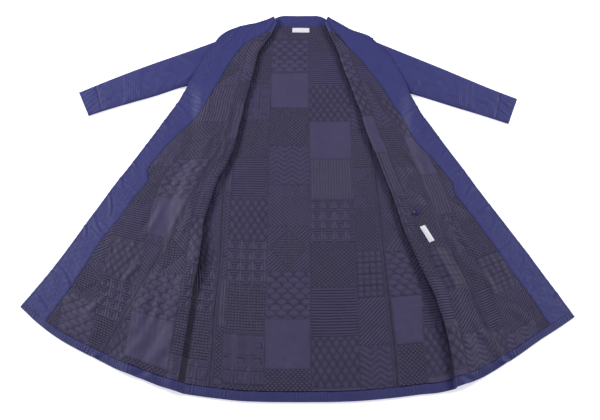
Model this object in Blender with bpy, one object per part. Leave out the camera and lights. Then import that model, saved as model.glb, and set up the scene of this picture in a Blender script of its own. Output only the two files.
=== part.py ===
# A long quilted coat without a collar, lying on its back and laid open, lining up.
# Each front folds over its shoulder and side, so three thicknesses of cloth lie there:
# the back, a hidden strip of the front with its outer cloth up, and the front turned out.
# Sizes are millimetres. X runs from the left sleeve to the right one, Y up to the neck.

import math

import bmesh
import bpy
import numpy as np
from mathutils import Vector
from mathutils.bvhtree import BVHTree

MM = 0.001

SHELL = 1.2  # outer cloth
LINING = 2.4  # quilted lining between its raised patches
RELIEF = 1.0  # how far a quilted patch stands up
FACING = 1.5  # facings and hem bands
SEAM = 0.3  # space between two pieces
HALF_SEAM = SEAM / 2

SEAT = SHELL + HALF_SEAM  # middle of the seam between shell and lining, on the floor
OUTER_TURN = 3.7  # radius of the hidden turn at the coat's side
INNER_TURN = 3.2  # radius of the rolled edge that shows
FLAP = 11.75  # the same middle where a front lies on the strip below it
SETTLE = 30.0  # a front sinks from its rolled edge to the strip over this width
FALL = 42.0  # and from the strip to the floor over this one
FALL_START = 24.0

NECK_INNER = 638.0  # lower edge of the neck facing
UNDERARM = 418.0
BAND = -490.0  # upper edge of the hem band
HEM = -515.0
# Top edge of the back neck, which ends under the rolled edges, as (distance from centre, y).
NECK_ARCH = ((0, 682), (50, 683), (66, 679), (78, 671), (88, 659))
NECK_ALLOWANCE = 3.0  # of the back's outer cloth above the lining, out along the shoulder
NECK_PUFF = 1.4  # the neck facing is fuller along its middle
NECK_CELLS = (3, 16)

BACK_ROWS_ABOVE = 10
ROW_PAIRS = 21  # rows of the sides and fronts below the underarm
BACK_COLUMNS = 20

LEVEL_CELLS = 3
OUTER_CELLS = 4
STRIP_CELLS = 1
INNER_CELLS = 5
SIDE_CELLS = 3
FRONT_CELLS = 7
FACING_CELLS = 3
UNDER_CELLS = LEVEL_CELLS + OUTER_CELLS
TO_SEAM = STRIP_CELLS + INNER_CELLS + SIDE_CELLS
TO_FACING = TO_SEAM + FRONT_CELLS
TO_EDGE = TO_FACING + FACING_CELLS

# Lines down each half: distance from the centre back at a height y. overlap is the width
# of the strip under the fold, turn the angle in degrees through which the cloth doubles back.
LINE_NAMES = (
    "y", "fold", "back_seam", "front_seam", "facing", "edge", "overlap", "turn", "land",
)
LINES = {
    "left": (
        (418, 146, 185, 170, 234, 318, 110, 180, 11.75),
        (395, 150, 185, 173, 244, 328, 103, 180, 7.5),
        (350, 159, 186, 182, 262, 349, 90, 180, 1.35),
        (310, 163, 187, 188, 282, 370, 80, 180, 1.35),
        (260, 172, 188, 198, 322, 396, 68, 180, 1.35),
        (220, 178, 188, 208, 354, 417, 60, 180, 1.35),
        (160, 193, 190, 231, 392, 449, 50, 180, 1.35),
        (122, 206, 195, 247, 411, 470, 44, 180, 1.35),
        (94, 220, 199, 259, 407, 486, 40, 180, 1.35),
        (30, 237, 203, 287, 443, 520, 34, 180, 1.35),
        (-30, 251, 203, 313, 472, 551, 28, 180, 1.35),
        (-100, 254, 203, 343, 514, 586, 22, 170, 1.35),
        (-170, 259, 203, 373, 544, 623, 12, 120, 1.35),
        (-230, 267, 206, 399, 573, 659, 17, 52, 1.35),
        (-300, 272, 210, 429, 611, 703, 19, 36, 1.35),
        (-400, 280, 210, 472, 660, 765, 20, 30, 1.35),
        (-515, 289, 214, 522, 720, 835, 20, 24, 1.35),
    ),
    "right": (
        (418, 145, 188, 192, 224, 301, 111, 180, 11.75),
        (385, 153, 189, 207, 242, 312, 101, 180, 10.5),
        (350, 162, 190, 222, 256, 328, 92, 180, 4.0),
        (310, 174, 192, 240, 276, 344, 80, 180, 1.35),
        (260, 184, 194, 265, 298, 371, 68, 180, 1.35),
        (220, 194, 196, 280, 317, 392, 60, 180, 1.35),
        (160, 213, 199, 299, 361, 424, 50, 180, 1.35),
        (120, 224, 202, 312, 385, 445, 44, 180, 1.35),
        (75, 237, 204, 326, 408, 468, 38, 180, 1.35),
        (55, 243, 205, 332, 409, 479, 36, 180, 1.35),
        (0, 257, 208, 350, 439, 509, 32, 180, 1.35),
        (-60, 270, 210, 368, 472, 543, 30, 180, 1.35),
        (-120, 289, 213, 387, 503, 575, 28, 180, 1.35),
        (-180, 309, 215, 406, 531, 607, 26, 175, 1.35),
        (-240, 331, 218, 425, 565, 639, 24, 165, 1.35),
        (-300, 346, 221, 444, 594, 670, 15, 150, 1.35),
        (-400, 361, 226, 475, 640, 722, 10, 120, 1.35),
        (-515, 366, 227, 512, 700, 782, 9, 95, 1.35),
    ),
}

# The front above the underarm, from the neck point down, each point as (x, y):
# the strip's outer end on the shoulder or armhole, the fold, the facing's edge, the front edge.
UPPER = {
    "left": (
        ((86, 650), (72, 644), (75, 656), (78, 669)),
        ((150, 624), (88, 602), (98, 608), (128, 645)),
        ((210, 599), (108, 565), (150, 571), (186, 628)),
        ((212, 574), (126, 528), (178, 536), (233, 598)),
        ((196, 530), (133, 490), (204, 490), (262, 548)),
        ((196, 475), (139, 452), (220, 453), (293, 478)),
    ),
    "right": (
        ((88, 648), (77, 644), (80, 656), (84, 668)),
        ((150, 622), (88, 610), (99, 613), (120, 642)),
        ((210, 594), (102, 572), (128, 566), (172, 604)),
        ((212, 570), (115, 532), (152, 532), (219, 576)),
        ((196, 526), (124, 494), (180, 494), (262, 514)),
        ((196, 473), (133, 457), (200, 457), (284, 462)),
    ),
}

# How far the hem lies above its middle, at a distance from the centre back: (x, rise).
HEM_RISE = {
    "left": (
        (0, 0), (93, 1), (139, 3), (186, 8), (233, 14), (280, 22), (328, 37), (376, 56),
        (426, 75), (476, 100), (527, 125), (587, 158), (644, 199), (690, 239), (760, 300),
    ),
    "right": (
        (0, 0), (93, 1), (139, 3), (186, 7), (233, 12), (279, 18), (327, 23), (374, 35),
        (423, 55), (474, 84), (526, 116), (579, 152), (632, 185), (673, 212), (760, 268),
    ),
}

# Drop of the shoulder below the neck facing's edge, at a distance from the centre back.
SHOULDER_DROP = ((0, 0), (92, 0), (226, 48))
# Armhole of the back, as (y, x).
ARMHOLE = ((418, 186), (470, 191), (520, 192), (560, 204), (600, 224))

# Long soft folds of the fronts: side, distance outside the rolled edge, height,
# half width, the y where each starts and ends.
SOFT_FOLDS = (
    ("left", 44, 5.0, 26, 330, 60),
    ("left", 52, 6.0, 28, -120, -500),
    ("left", 112, 5.0, 30, -180, -500),
    ("right", 50, 5.0, 26, 330, 90),
    ("right", 58, 7.0, 30, 60, -470),
)

# Sleeves: the upper and lower edge, as (x, y) from the armhole to the cuff's end.
SLEEVE_TOP = {
    "left": ((229, 588), (331, 539), (461, 478), (582, 415), (634, 386)),
    "right": ((229, 574), (295, 539), (408, 478), (567, 390), (620, 363)),
}
SLEEVE_BOTTOM = {
    "left": ((264, 425), (320, 415), (415, 377), (565, 320), (597, 306)),
    "right": ((268, 402), (321, 384), (437, 338), (540, 297), (585, 278)),
}
ARM_CURVE = {
    "left": ((231, 588), (215, 566), (200, 529), (200, 477), (256, 425), (264, 425)),
    "right": ((231, 574), (215, 560), (200, 527), (200, 475), (259, 424), (268, 402)),
}
CUFF = 0.885  # where the cuff's seam lies along the sleeve
SLEEVE_WALL_EDGE = 1.2
SLEEVE_WALL = 3.0
SLEEVE_ROOM = 3.4  # space between the two halves at the armhole
SLEEVE_ACROSS = 8
SLEEVE_PLAIN = (0.0, 0.06, 0.14, 0.24, 0.34, 0.45)  # rows before the ridges, as shares
SLEEVE_END = (0.78, CUFF, 0.94, 1.0)
SLEEVE_JOINED = 0.24  # from here on the sleeve no longer follows the armhole's curve
SLEEVE_FLAT = 0.8  # and from here its two halves lie on each other
# Ridges pressed across each sleeve: first and last place along it, count, height.
SLEEVE_RIDGES = {
    "left": (0.56, 0.70, 5, 1.1),
    "right": (0.56, 0.70, 5, 1.1),
}

PATCHES = {"back": (7, 5), "half": (4, 3)}  # rows and columns of cells in a patch
PLAIN_ABOVE = 600.0  # the lining isn't quilted above this height
SHOULDER_SEAM_SHARE = 0.3  # of a front's width, where the line of its side seam runs on

LABEL = 0.6
LABEL_LIFT = SEAM + 0.1
LABEL_CELLS = (3, 8)
NECK_LABEL = (2.5, 621.0, 51.0, 18.0, 0.0)  # x, y, length, width, turn in degrees
CARE_LABEL = (326.0, -82.0, 50.0, 15.0, -65.0)
BUTTON_AT = (303.0, -19.0)
BUTTON_RADIUS = 7.5
BUTTON_THICKNESS = 2.6
BUTTON_TAPER = 0.94
BUTTON_LIFT = SEAM + 0.5
EASE = 1.2  # a fold that turns back less is rounder
SHARP = 35  # degrees

LOOKS = {  # name: colour, roughness
    "shell_nylon": ((0.055, 0.055, 0.165, 1.0), 0.5),
    "quilted_lining": ((0.068, 0.058, 0.120, 1.0), 0.62),
    "label_satin": ((0.85, 0.85, 0.86, 1.0), 0.5),
    "button_resin": ((0.02, 0.025, 0.09, 1.0), 0.25),
}


def smooth(value):
    value = np.clip(value, 0.0, 1.0)
    return value * value * (3 - 2 * value)


def lerp(start, end, share):
    return np.asarray(start, float) * (1 - share) + np.asarray(end, float) * share


def line_at(side, name, y):
    """A line's distance from the centre back, or another value of its table, at y."""
    rows = np.array(LINES[side], float)
    return np.interp(-y, -rows[:, 0], rows[:, LINE_NAMES.index(name)])


def rise_at(side, x):
    table = np.array(HEM_RISE[side], float)
    return np.interp(x, table[:, 0], table[:, 1])


def row_y(side, base, x):
    """Height of a row at x: level at the underarm, and like the hem at the hem."""
    if base <= UNDERARM:
        return base + rise_at(side, x) * (UNDERARM - base) / (UNDERARM - HEM)
    table = np.array(SHOULDER_DROP, float)
    share = (base - UNDERARM) / (NECK_INNER - UNDERARM)
    return base - np.interp(x, table[:, 0], table[:, 1]) * share


def on_row(side, base, line):
    """Where a line, given as a function of y, crosses a row."""
    y = base
    for _ in range(40):
        x = float(line(y))
        y = float(row_y(side, base, x))
    return x, y


def crossing(side, base, name):
    return on_row(side, base, lambda y: line_at(side, name, y))


def turn_radii(turn):
    ease = 1 + EASE * (1 - turn / math.pi)
    return OUTER_TURN * ease, INNER_TURN * ease


def fold_section(side, base):
    """Distances and heights from the back seam through the fold to the front edge."""
    seam_x = crossing(side, base, "back_seam")[0]
    fold_x, fold_y = crossing(side, base, "fold")
    turn = math.radians(line_at(side, "turn", fold_y))
    overlap = line_at(side, "overlap", fold_y)
    land = line_at(side, "land", fold_y)
    outer, inner = turn_radii(turn)
    strip = max(overlap - OUTER_TURN - INNER_TURN, 1.0)

    first = [turn * n / OUTER_CELLS for n in range(OUTER_CELLS + 1)]
    under = [(outer * math.sin(a), SEAT + outer * (1 - math.cos(a))) for a in first]
    foot_x = under[-1][0] + strip * math.cos(turn)
    foot_z = under[-1][1] + strip * math.sin(turn)
    second = [turn * (1 - n / INNER_CELLS) for n in range(INNER_CELLS + 1)]
    roll = [
        (
            foot_x + inner * (math.sin(turn) - math.sin(a)),
            foot_z + inner * (math.cos(a) - math.cos(turn)),
        )
        for a in second
    ]
    crest = foot_x + inner * (math.sin(turn) - math.sin(turn / 2))
    shift = fold_x - crest
    under = [(x + shift, z) for x, z in under]
    roll = [(x + shift, z) for x, z in roll]
    level = [
        (float(lerp(seam_x, under[0][0], n / LEVEL_CELLS)), SEAT)
        for n in range(LEVEL_CELLS)
    ]

    end_x, end_z = roll[-1]
    reach = max(x for x, _ in under)
    fall_from = max(reach + FALL_START, end_x)
    marks = [end_x] + [crossing(side, base, n)[0] for n in ("front_seam", "facing", "edge")]
    counts = (SIDE_CELLS, FRONT_CELLS, FACING_CELLS)
    flat = []
    for start, end, count in zip(marks, marks[1:], counts):
        flat += [float(lerp(start, end, (n + 1) / count)) for n in range(count)]
    flap = []
    for x in flat:
        held = min(FLAP, end_z)
        z = held + (end_z - held) * (1 - smooth((x - end_x) / SETTLE))
        z = lerp(z, land, smooth((x - fall_from) / FALL))
        flap.append((x, float(z) + soft_fold(side, x - fold_x, fold_y, marks[-1] - x)))
    return level + under + roll + flap


def soft_fold(side, out, y, to_edge):
    """Height that the long soft folds add, none of it at the front edge."""
    height = 0.0
    for which, centre, tall, half, start, end in SOFT_FOLDS:
        if which != side:
            continue
        along = smooth((start - y) / 70) * smooth((y - end) / 70 + 0.25)
        across = math.exp(-(((out - centre) / half) ** 2))
        height += tall * float(along) * across * float(smooth(to_edge / 60))
    return height


def lower_lattice(side, bases):
    sign = -1 if side == "left" else 1
    rows = []
    for base in bases:
        section = fold_section(side, base)
        rows.append([(sign * x, row_y(side, base, x), z) for x, z in section])
    return np.array(rows)


def upper_lattice(side):
    """Rows of the front above the underarm, from the strip's outer end to the edge."""
    sign = -1 if side == "left" else 1
    strip_z = SEAT + 2 * OUTER_TURN
    rows = []
    for entry in UPPER[side]:
        arm, fold, facing, edge = (np.array(point, float) for point in entry)
        inward = (arm - fold) / np.linalg.norm(arm - fold)
        outward = (facing - fold) / np.linalg.norm(facing - fold)
        row = [(*arm, strip_z)]
        for n in range(INNER_CELLS + 1):
            angle = math.pi * (1 - n / INNER_CELLS)
            way = inward if angle > math.pi / 2 else outward
            place = fold + way * INNER_TURN * (1 - math.sin(angle))
            row.append((*place, strip_z + INNER_TURN * (1 + math.cos(angle))))
        start = fold + outward * INNER_TURN
        top = strip_z + 2 * INNER_TURN
        seam = lerp(start, facing, SHOULDER_SEAM_SHARE)
        marks = [start, seam, facing, edge]
        counts = (SIDE_CELLS, FRONT_CELLS, FACING_CELLS)
        for a, b, count in zip(marks, marks[1:], counts):
            for n in range(count):
                place = lerp(a, b, (n + 1) / count)
                gone = np.linalg.norm(place - start)
                z = FLAP + (top - FLAP) * (1 - smooth(gone / SETTLE))
                row.append((*place, float(z)))
        rows.append(row)
    lattice = np.array(rows)
    lattice[:, :, 0] *= sign
    return lattice


def normals_of(points, flip):
    across = np.gradient(points, axis=1)
    along = np.gradient(points, axis=0)
    normal = np.cross(across, along)
    normal /= np.linalg.norm(normal, axis=2, keepdims=True)
    return normal if flip else -normal


def parted(points, cells):
    """The lattice with each border of the chosen cells drawn in by half a seam."""
    moved = points.copy()
    rows, columns = cells.shape
    padded = np.zeros((rows + 2, columns + 2), bool)
    padded[1:-1, 1:-1] = cells
    for r in range(rows + 1):
        for c in range(columns + 1):
            up_left, up_right = padded[r, c], padded[r, c + 1]
            low_left, low_right = padded[r + 1, c], padded[r + 1, c + 1]
            if not (up_left or up_right or low_left or low_right):
                continue
            right = (up_right and not up_left) or (low_right and not low_left)
            left = (up_left and not up_right) or (low_left and not low_right)
            down = (low_left and not up_left) or (low_right and not up_right)
            up = (up_left and not low_left) or (up_right and not low_right)
            step_c = int(right) - int(left)
            step_r = int(down) - int(up)
            for dr, dc in ((0, step_c), (step_r, 0)):
                if dr == 0 and dc == 0:
                    continue
                way = points[r + dr, c + dc] - points[r, c]
                moved[r, c] += way / np.linalg.norm(way) * HALF_SEAM
    return moved


def material_named(name):
    found = bpy.data.materials.get(name)
    if found:
        return found
    colour, roughness = LOOKS[name]
    made = bpy.data.materials.new(name)
    made.use_nodes = True
    shader = made.node_tree.nodes["Principled BSDF"]
    shader.inputs["Base Color"].default_value = colour
    shader.inputs["Roughness"].default_value = roughness
    shader.inputs["Metallic"].default_value = 0.0
    made.diffuse_color = colour
    return made


def add_object(name, mesh, material):
    made = bpy.data.objects.new(name, mesh)
    mesh.materials.append(material_named(material))
    collection.objects.link(made)
    return made


def wall(name, points, normals, low, high, cells, material):
    """A closed wall over the chosen cells, between two distances from the lattice."""
    points = parted(points, cells)
    low = np.broadcast_to(low, points.shape[:2])[:, :, None]
    high = np.broadcast_to(high, points.shape[:2])[:, :, None]
    faces_at = {"low": points + normals * low, "high": points + normals * high}
    mesh = bpy.data.meshes.new(name)
    bm = bmesh.new()
    verts = {}

    def vert(layer, r, c):
        key = (layer, r, c)
        if key not in verts:
            verts[key] = bm.verts.new(faces_at[layer][r, c] * MM)
        return verts[key]

    for r, c in zip(*np.nonzero(cells)):
        ring = ((r, c), (r, c + 1), (r + 1, c + 1), (r + 1, c))
        bm.faces.new([vert("high", *p) for p in ring])
        bm.faces.new([vert("low", *p) for p in (ring[0], ring[3], ring[2], ring[1])])
        beside = ((r - 1, c), (r, c + 1), (r + 1, c), (r, c - 1))
        for n, (br, bc) in enumerate(beside):
            inside = 0 <= br < cells.shape[0] and 0 <= bc < cells.shape[1]
            if inside and cells[br, bc]:
                continue
            a, b = ring[n], ring[(n + 1) % 4]
            corners = (("high", b), ("high", a), ("low", a), ("low", b))
            bm.faces.new([vert(layer, *place) for layer, place in corners])
    bmesh.ops.recalc_face_normals(bm, faces=bm.faces)
    bmesh.ops.dissolve_limit(
        bm,
        angle_limit=math.radians(0.05),
        use_dissolve_boundaries=False,
        verts=bm.verts,
        edges=bm.edges,
    )
    bm.to_mesh(mesh)
    bm.free()
    return finished(add_object(name, mesh, material))


def finished(made):
    made.data.shade_smooth()
    made.data.set_sharp_from_angle(angle=math.radians(SHARP))
    split = made.modifiers.new("Triangles", "TRIANGULATE")
    split.quad_method = "FIXED"
    return made


def chosen(shape, *blocks):
    """Cells of a lattice: each block is first row, end row, first column, end column."""
    cells = np.zeros((shape[0] - 1, shape[1] - 1), bool)
    for top, bottom, first, last in blocks:
        cells[top:bottom, first:last] = True
    return cells


def quilting(points, patch_rows, patch_columns):
    """Raised patches of a plain patchwork: squares, diamonds and channels by turns."""
    rows, columns = points.shape[:2]
    raised = np.zeros((rows, columns))
    for r in range(rows):
        for c in range(columns):
            kind = (r // patch_rows + 2 * (c // patch_columns)) % 4
            if kind == 0:
                up = (r + c) % 2
            elif kind == 1:
                up = r % 2
            elif kind == 2:
                up = (r % 2) * (c % 2)
            else:
                up = c % 2
            raised[r, c] = up
    return raised * RELIEF


def half_bases():
    above = [float(b) for b in np.linspace(UNDERARM, BAND, ROW_PAIRS + 1)]
    return above + [HEM]


def build_half(side, bases):
    flip = side == "right"
    lower = lower_lattice(side, bases)
    front = np.vstack([upper_lattice(side), lower[:, UNDER_CELLS:]])
    lower_normals = normals_of(lower, not flip)
    upper_normals = normals_of(front, not flip)[: len(UPPER[side])]
    front_normals = np.vstack([upper_normals, lower_normals[:, UNDER_CELLS:]])
    top_rows = len(UPPER[side])
    side_end = UNDER_CELLS + TO_SEAM
    band_row = len(bases) - 2
    hem_row = len(bases) - 1
    front_band = top_rows + band_row
    front_hem = top_rows + hem_row
    shell = (-SEAT, -HALF_SEAM)

    def lining_top(points, hidden):
        raised = quilting(points, *PATCHES["half"])
        raised[:, hidden] = 0.0
        return HALF_SEAM + LINING + raised

    side_hidden = slice(LEVEL_CELLS, UNDER_CELLS + STRIP_CELLS + INNER_CELLS + 1)
    front_hidden = slice(0, STRIP_CELLS + INNER_CELLS + 1)
    side_cells = chosen(lower.shape, (0, band_row, 0, side_end))
    wall(
        f"side_shell_{side}", lower, lower_normals, *shell,
        chosen(lower.shape, (0, hem_row, 0, side_end)), "shell_nylon",
    )
    wall(
        f"side_lining_{side}", lower, lower_normals, HALF_SEAM,
        lining_top(lower, side_hidden), side_cells, "quilted_lining",
    )
    wall(
        f"hem_band_side_{side}", lower, lower_normals, HALF_SEAM, HALF_SEAM + FACING,
        chosen(lower.shape, (band_row, hem_row, 0, side_end)), "shell_nylon",
    )
    wall(
        f"front_shell_{side}", front, front_normals, *shell,
        chosen(
            front.shape, (0, top_rows, 0, TO_EDGE), (top_rows, front_hem, TO_SEAM, TO_EDGE)
        ),
        "shell_nylon",
    )
    wall(
        f"front_lining_{side}", front, front_normals, HALF_SEAM,
        lining_top(front, front_hidden),
        chosen(
            front.shape, (1, top_rows, 0, TO_FACING), (top_rows, front_band, TO_SEAM, TO_FACING)
        ),
        "quilted_lining",
    )
    wall(
        f"front_facing_{side}", front, front_normals, HALF_SEAM, HALF_SEAM + FACING,
        chosen(
            front.shape, (0, 1, STRIP_CELLS, TO_EDGE), (1, front_band, TO_FACING, TO_EDGE)
        ),
        "shell_nylon",
    )
    wall(
        f"hem_band_front_{side}", front, front_normals, HALF_SEAM, HALF_SEAM + FACING,
        chosen(front.shape, (front_band, front_hem, TO_SEAM, TO_EDGE)), "shell_nylon",
    )
    return lower[:, 0]


def back_end(side, base, seam_line):
    """Outer end of a row of the back: on the seam's straight stretches, or the armhole."""
    if base > UNDERARM:
        table = np.array(ARMHOLE, float)
        return on_row(side, base, lambda y: np.interp(y, table[:, 0], table[:, 1]))
    x = np.interp(-base, -seam_line[:, 0], seam_line[:, 1])
    y = np.interp(-base, -seam_line[:, 0], seam_line[:, 2])
    return float(x), float(y)


def neck_top(x):
    """Height of the back neck's top edge, and nothing beyond its ends."""
    table = np.array(NECK_ARCH, float)
    return np.interp(np.abs(x), table[:, 0], table[:, 1], right=-np.inf)


def build_back(bases, seams):
    """The back lies flat: outer cloth below, quilted lining and hem band on it."""
    lines = {
        side: np.array([(b, abs(p[0]), p[1]) for b, p in zip(bases, seams[side])])
        for side in seams
    }
    above = list(np.linspace(NECK_INNER, UNDERARM, BACK_ROWS_ABOVE + 1))[:-1]
    below = list(np.linspace(UNDERARM, BAND, 2 * ROW_PAIRS + 1)) + [HEM]
    rows = []
    for base in above + below:
        left_x, left_y = back_end("left", base, lines["left"])
        right_x, right_y = back_end("right", base, lines["right"])
        row = []
        for x in np.linspace(-left_x, right_x, BACK_COLUMNS + 1):
            side = "left" if x < 0 else "right"
            row.append([x, row_y(side, base, abs(x)), SEAT])
        row[0][1] = left_y
        row[-1][1] = right_y
        rows.append(row)
    points = np.array(rows)
    normals = np.zeros_like(points)
    normals[:, :, 2] = 1.0
    last = len(points) - 1
    wall(
        "back_lining", points, normals, HALF_SEAM,
        HALF_SEAM + LINING + quilting(points, *PATCHES["back"]) * (points[:, :, 1] < PLAIN_ABOVE),
        chosen(points.shape, (0, last - 1, 0, BACK_COLUMNS)), "quilted_lining",
    )
    wall(
        "hem_band_back", points, normals, HALF_SEAM, HALF_SEAM + FACING,
        chosen(points.shape, (last - 1, last, 0, BACK_COLUMNS)), "shell_nylon",
    )
    neck = points[0].copy()
    neck[:, 1] = np.maximum(neck_top(neck[:, 0]), neck[:, 1] + NECK_ALLOWANCE)
    shell_points = np.concatenate([neck[None], points])
    shell_normals = np.concatenate([normals[:1], normals])
    wall(
        "back_shell", shell_points, shell_normals, -SEAT, -HALF_SEAM,
        chosen(shell_points.shape, (0, last + 1, 0, BACK_COLUMNS)), "shell_nylon",
    )


def build_neck_facing():
    """The band behind the neck. Its ends lie flat under the rolled edges of the fronts."""
    row_cells, column_cells = NECK_CELLS
    reach = NECK_ARCH[-1][0]
    points = np.zeros((row_cells + 1, column_cells + 1, 3))
    for c, x in enumerate(np.linspace(-reach, reach, column_cells + 1)):
        for r, share in enumerate(np.linspace(0, 1, row_cells + 1)):
            y = lerp(neck_top(x), NECK_INNER + SEAM, share)
            points[r, c] = (x, float(y), SEAT + NECK_PUFF * math.sin(math.pi * share))
    normals = np.zeros_like(points)
    normals[:, :, 2] = 1.0
    wall(
        "back_neck_facing", points, normals, HALF_SEAM, HALF_SEAM + FACING,
        chosen(points.shape, (0, row_cells, 0, column_cells)), "shell_nylon",
    )


def along_line(table, share):
    """A point at a share of the way along a line of points."""
    table = np.array(table, float)
    lengths = np.concatenate([[0], np.cumsum(np.linalg.norm(np.diff(table, axis=0), axis=1))])
    at = share * lengths[-1]
    return np.array([np.interp(at, lengths, table[:, k]) for k in (0, 1)])


def sleeve_lattice(side):
    """Plan of a sleeve from its armhole to the cuff's end, with its room and ridges."""
    first, last, count, tall = SLEEVE_RIDGES[side]
    ridge_shares = list(np.linspace(first, last, 2 * count + 1))
    shares = [*SLEEVE_PLAIN, *ridge_shares, *SLEEVE_END]
    curve = ARM_CURVE[side]
    rows = []
    for share in shares:
        ends = (along_line(SLEEVE_TOP[side], share), along_line(SLEEVE_BOTTOM[side], share))
        row = []
        for n in range(SLEEVE_ACROSS + 1):
            across = n / SLEEVE_ACROSS
            plain_place = lerp(*ends, across)
            armhole = along_line(curve, across)
            row.append(lerp(armhole, plain_place, smooth(share / SLEEVE_JOINED)))
        rows.append(row)
    ridged = [tall if share in ridge_shares[1::2] else 0.0 for share in shares]
    return np.array(shares), np.array(rows), np.array(ridged)


def build_sleeve(side):
    sign = -1 if side == "left" else 1
    shares, plan, ridged = sleeve_lattice(side)
    across = np.linspace(-1, 1, SLEEVE_ACROSS + 1)
    crown = (1 - np.abs(across) ** 4)[None, :] * np.ones((len(shares), 1))
    room = (SLEEVE_ROOM * (1 - smooth(shares / SLEEVE_FLAT)))[:, None] * crown
    thick = SLEEVE_WALL_EDGE + (SLEEVE_WALL - SLEEVE_WALL_EDGE) * crown
    normals = np.zeros((*plan.shape[:2], 3))
    normals[:, :, 2] = 1.0
    points = np.dstack([plan[:, :, 0] * sign, plan[:, :, 1], np.zeros(plan.shape[:2])])
    cuff_row = list(shares).index(CUFF)
    last = len(shares) - 1
    parts = (("sleeve", 0, cuff_row), ("cuff", cuff_row, last))
    upper_low = thick + SEAM + room
    upper_high = upper_low + thick + ridged[:, None] * crown
    for what, start, end in parts:
        cells = chosen(points.shape, (start, end, 0, SLEEVE_ACROSS))
        wall(f"{what}_under_{side}", points, normals, 0.0, thick, cells, "shell_nylon")
        wall(
            f"{what}_upper_{side}", points, normals, upper_low, upper_high, cells, "shell_nylon"
        )


def surface_of(name):
    graph = bpy.context.evaluated_depsgraph_get()
    return BVHTree.FromObject(bpy.data.objects[name], graph)


def height_on(tree, x, y):
    hit = tree.ray_cast(Vector((x * MM, y * MM, 0.1)), Vector((0, 0, -1)))
    return hit[0].z / MM, hit[1]


def build_label(name, carrier, place):
    """A thin plate that follows the cloth it is sewn on."""
    x, y, length, width, turn = place
    tree = surface_of(carrier)
    angle = math.radians(turn)
    along = np.array([math.cos(angle), math.sin(angle)])
    beside = np.array([-math.sin(angle), math.cos(angle)])
    row_cells, column_cells = LABEL_CELLS
    points = np.zeros((row_cells + 1, column_cells + 1, 3))
    for r, v in enumerate(np.linspace(0.5, -0.5, row_cells + 1)):
        for c, u in enumerate(np.linspace(-0.5, 0.5, column_cells + 1)):
            px, py = np.array([x, y]) + along * u * length + beside * v * width
            points[r, c] = (px, py, height_on(tree, px, py)[0])
    normals = np.zeros_like(points)
    normals[:, :, 2] = 1.0
    wall(
        name, points, normals, LABEL_LIFT, LABEL_LIFT + LABEL,
        chosen(points.shape, (0, row_cells, 0, column_cells)), "label_satin",
    )


def build_button(carrier):
    x, y = BUTTON_AT
    z, normal = height_on(surface_of(carrier), x, y)
    bm = bmesh.new()
    bmesh.ops.create_cone(
        bm, cap_ends=True, segments=20, radius1=BUTTON_RADIUS * MM,
        radius2=BUTTON_RADIUS * MM * BUTTON_TAPER, depth=BUTTON_THICKNESS * MM,
    )
    mesh = bpy.data.meshes.new("spare_button")
    bm.to_mesh(mesh)
    bm.free()
    made = add_object("spare_button", mesh, "button_resin")
    lift = (BUTTON_LIFT + BUTTON_THICKNESS / 2) * MM
    made.location = Vector((x * MM, y * MM, z * MM)) + normal * lift
    made.rotation_euler = normal.to_track_quat("Z", "Y").to_euler()
    made.data.shade_smooth()
    made.data.set_sharp_from_angle(angle=math.radians(SHARP))


def centre_on_origin():
    """Moves the whole coat so that the middle of its outline stands at the origin."""
    bpy.context.view_layer.update()
    corners = []
    for made in collection.objects:
        corners += [made.matrix_world @ vertex.co for vertex in made.data.vertices]
    corners = np.array(corners)
    middle = (corners.min(axis=0) + corners.max(axis=0)) / 2
    for made in collection.objects:
        made.location.x -= middle[0]
        made.location.y -= middle[1]
    print("middle of the outline", np.round(middle[:2] / MM, 2))


for old in list(bpy.data.objects):
    bpy.data.objects.remove(old)
collection = bpy.data.collections.new("long_coat")
bpy.context.scene.collection.children.link(collection)

row_bases = half_bases()
seam_points = {side: build_half(side, row_bases) for side in ("left", "right")}
build_back(row_bases, seam_points)
build_neck_facing()
for arm_side in ("left", "right"):
    build_sleeve(arm_side)
bpy.context.view_layer.update()
build_label("neck_label", "back_lining", NECK_LABEL)
build_label("care_label", "side_lining_right", CARE_LABEL)
build_button("side_lining_right")
centre_on_origin()
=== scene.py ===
import math

import bpy
import numpy as np
from mathutils import Matrix, Vector
from mathutils.bvhtree import BVHTree


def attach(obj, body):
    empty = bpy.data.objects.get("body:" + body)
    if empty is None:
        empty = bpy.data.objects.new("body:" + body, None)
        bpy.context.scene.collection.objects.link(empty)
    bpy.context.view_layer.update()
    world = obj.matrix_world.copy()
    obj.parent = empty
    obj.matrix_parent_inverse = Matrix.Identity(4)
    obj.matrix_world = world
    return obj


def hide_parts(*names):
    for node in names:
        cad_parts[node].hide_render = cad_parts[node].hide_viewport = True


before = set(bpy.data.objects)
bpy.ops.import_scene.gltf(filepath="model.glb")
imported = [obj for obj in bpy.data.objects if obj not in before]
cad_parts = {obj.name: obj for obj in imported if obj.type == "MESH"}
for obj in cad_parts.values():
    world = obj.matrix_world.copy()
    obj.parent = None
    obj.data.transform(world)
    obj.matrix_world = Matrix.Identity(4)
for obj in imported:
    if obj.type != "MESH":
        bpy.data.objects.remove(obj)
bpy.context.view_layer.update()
print("frame loaded,", len(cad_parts), "solids")

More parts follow.
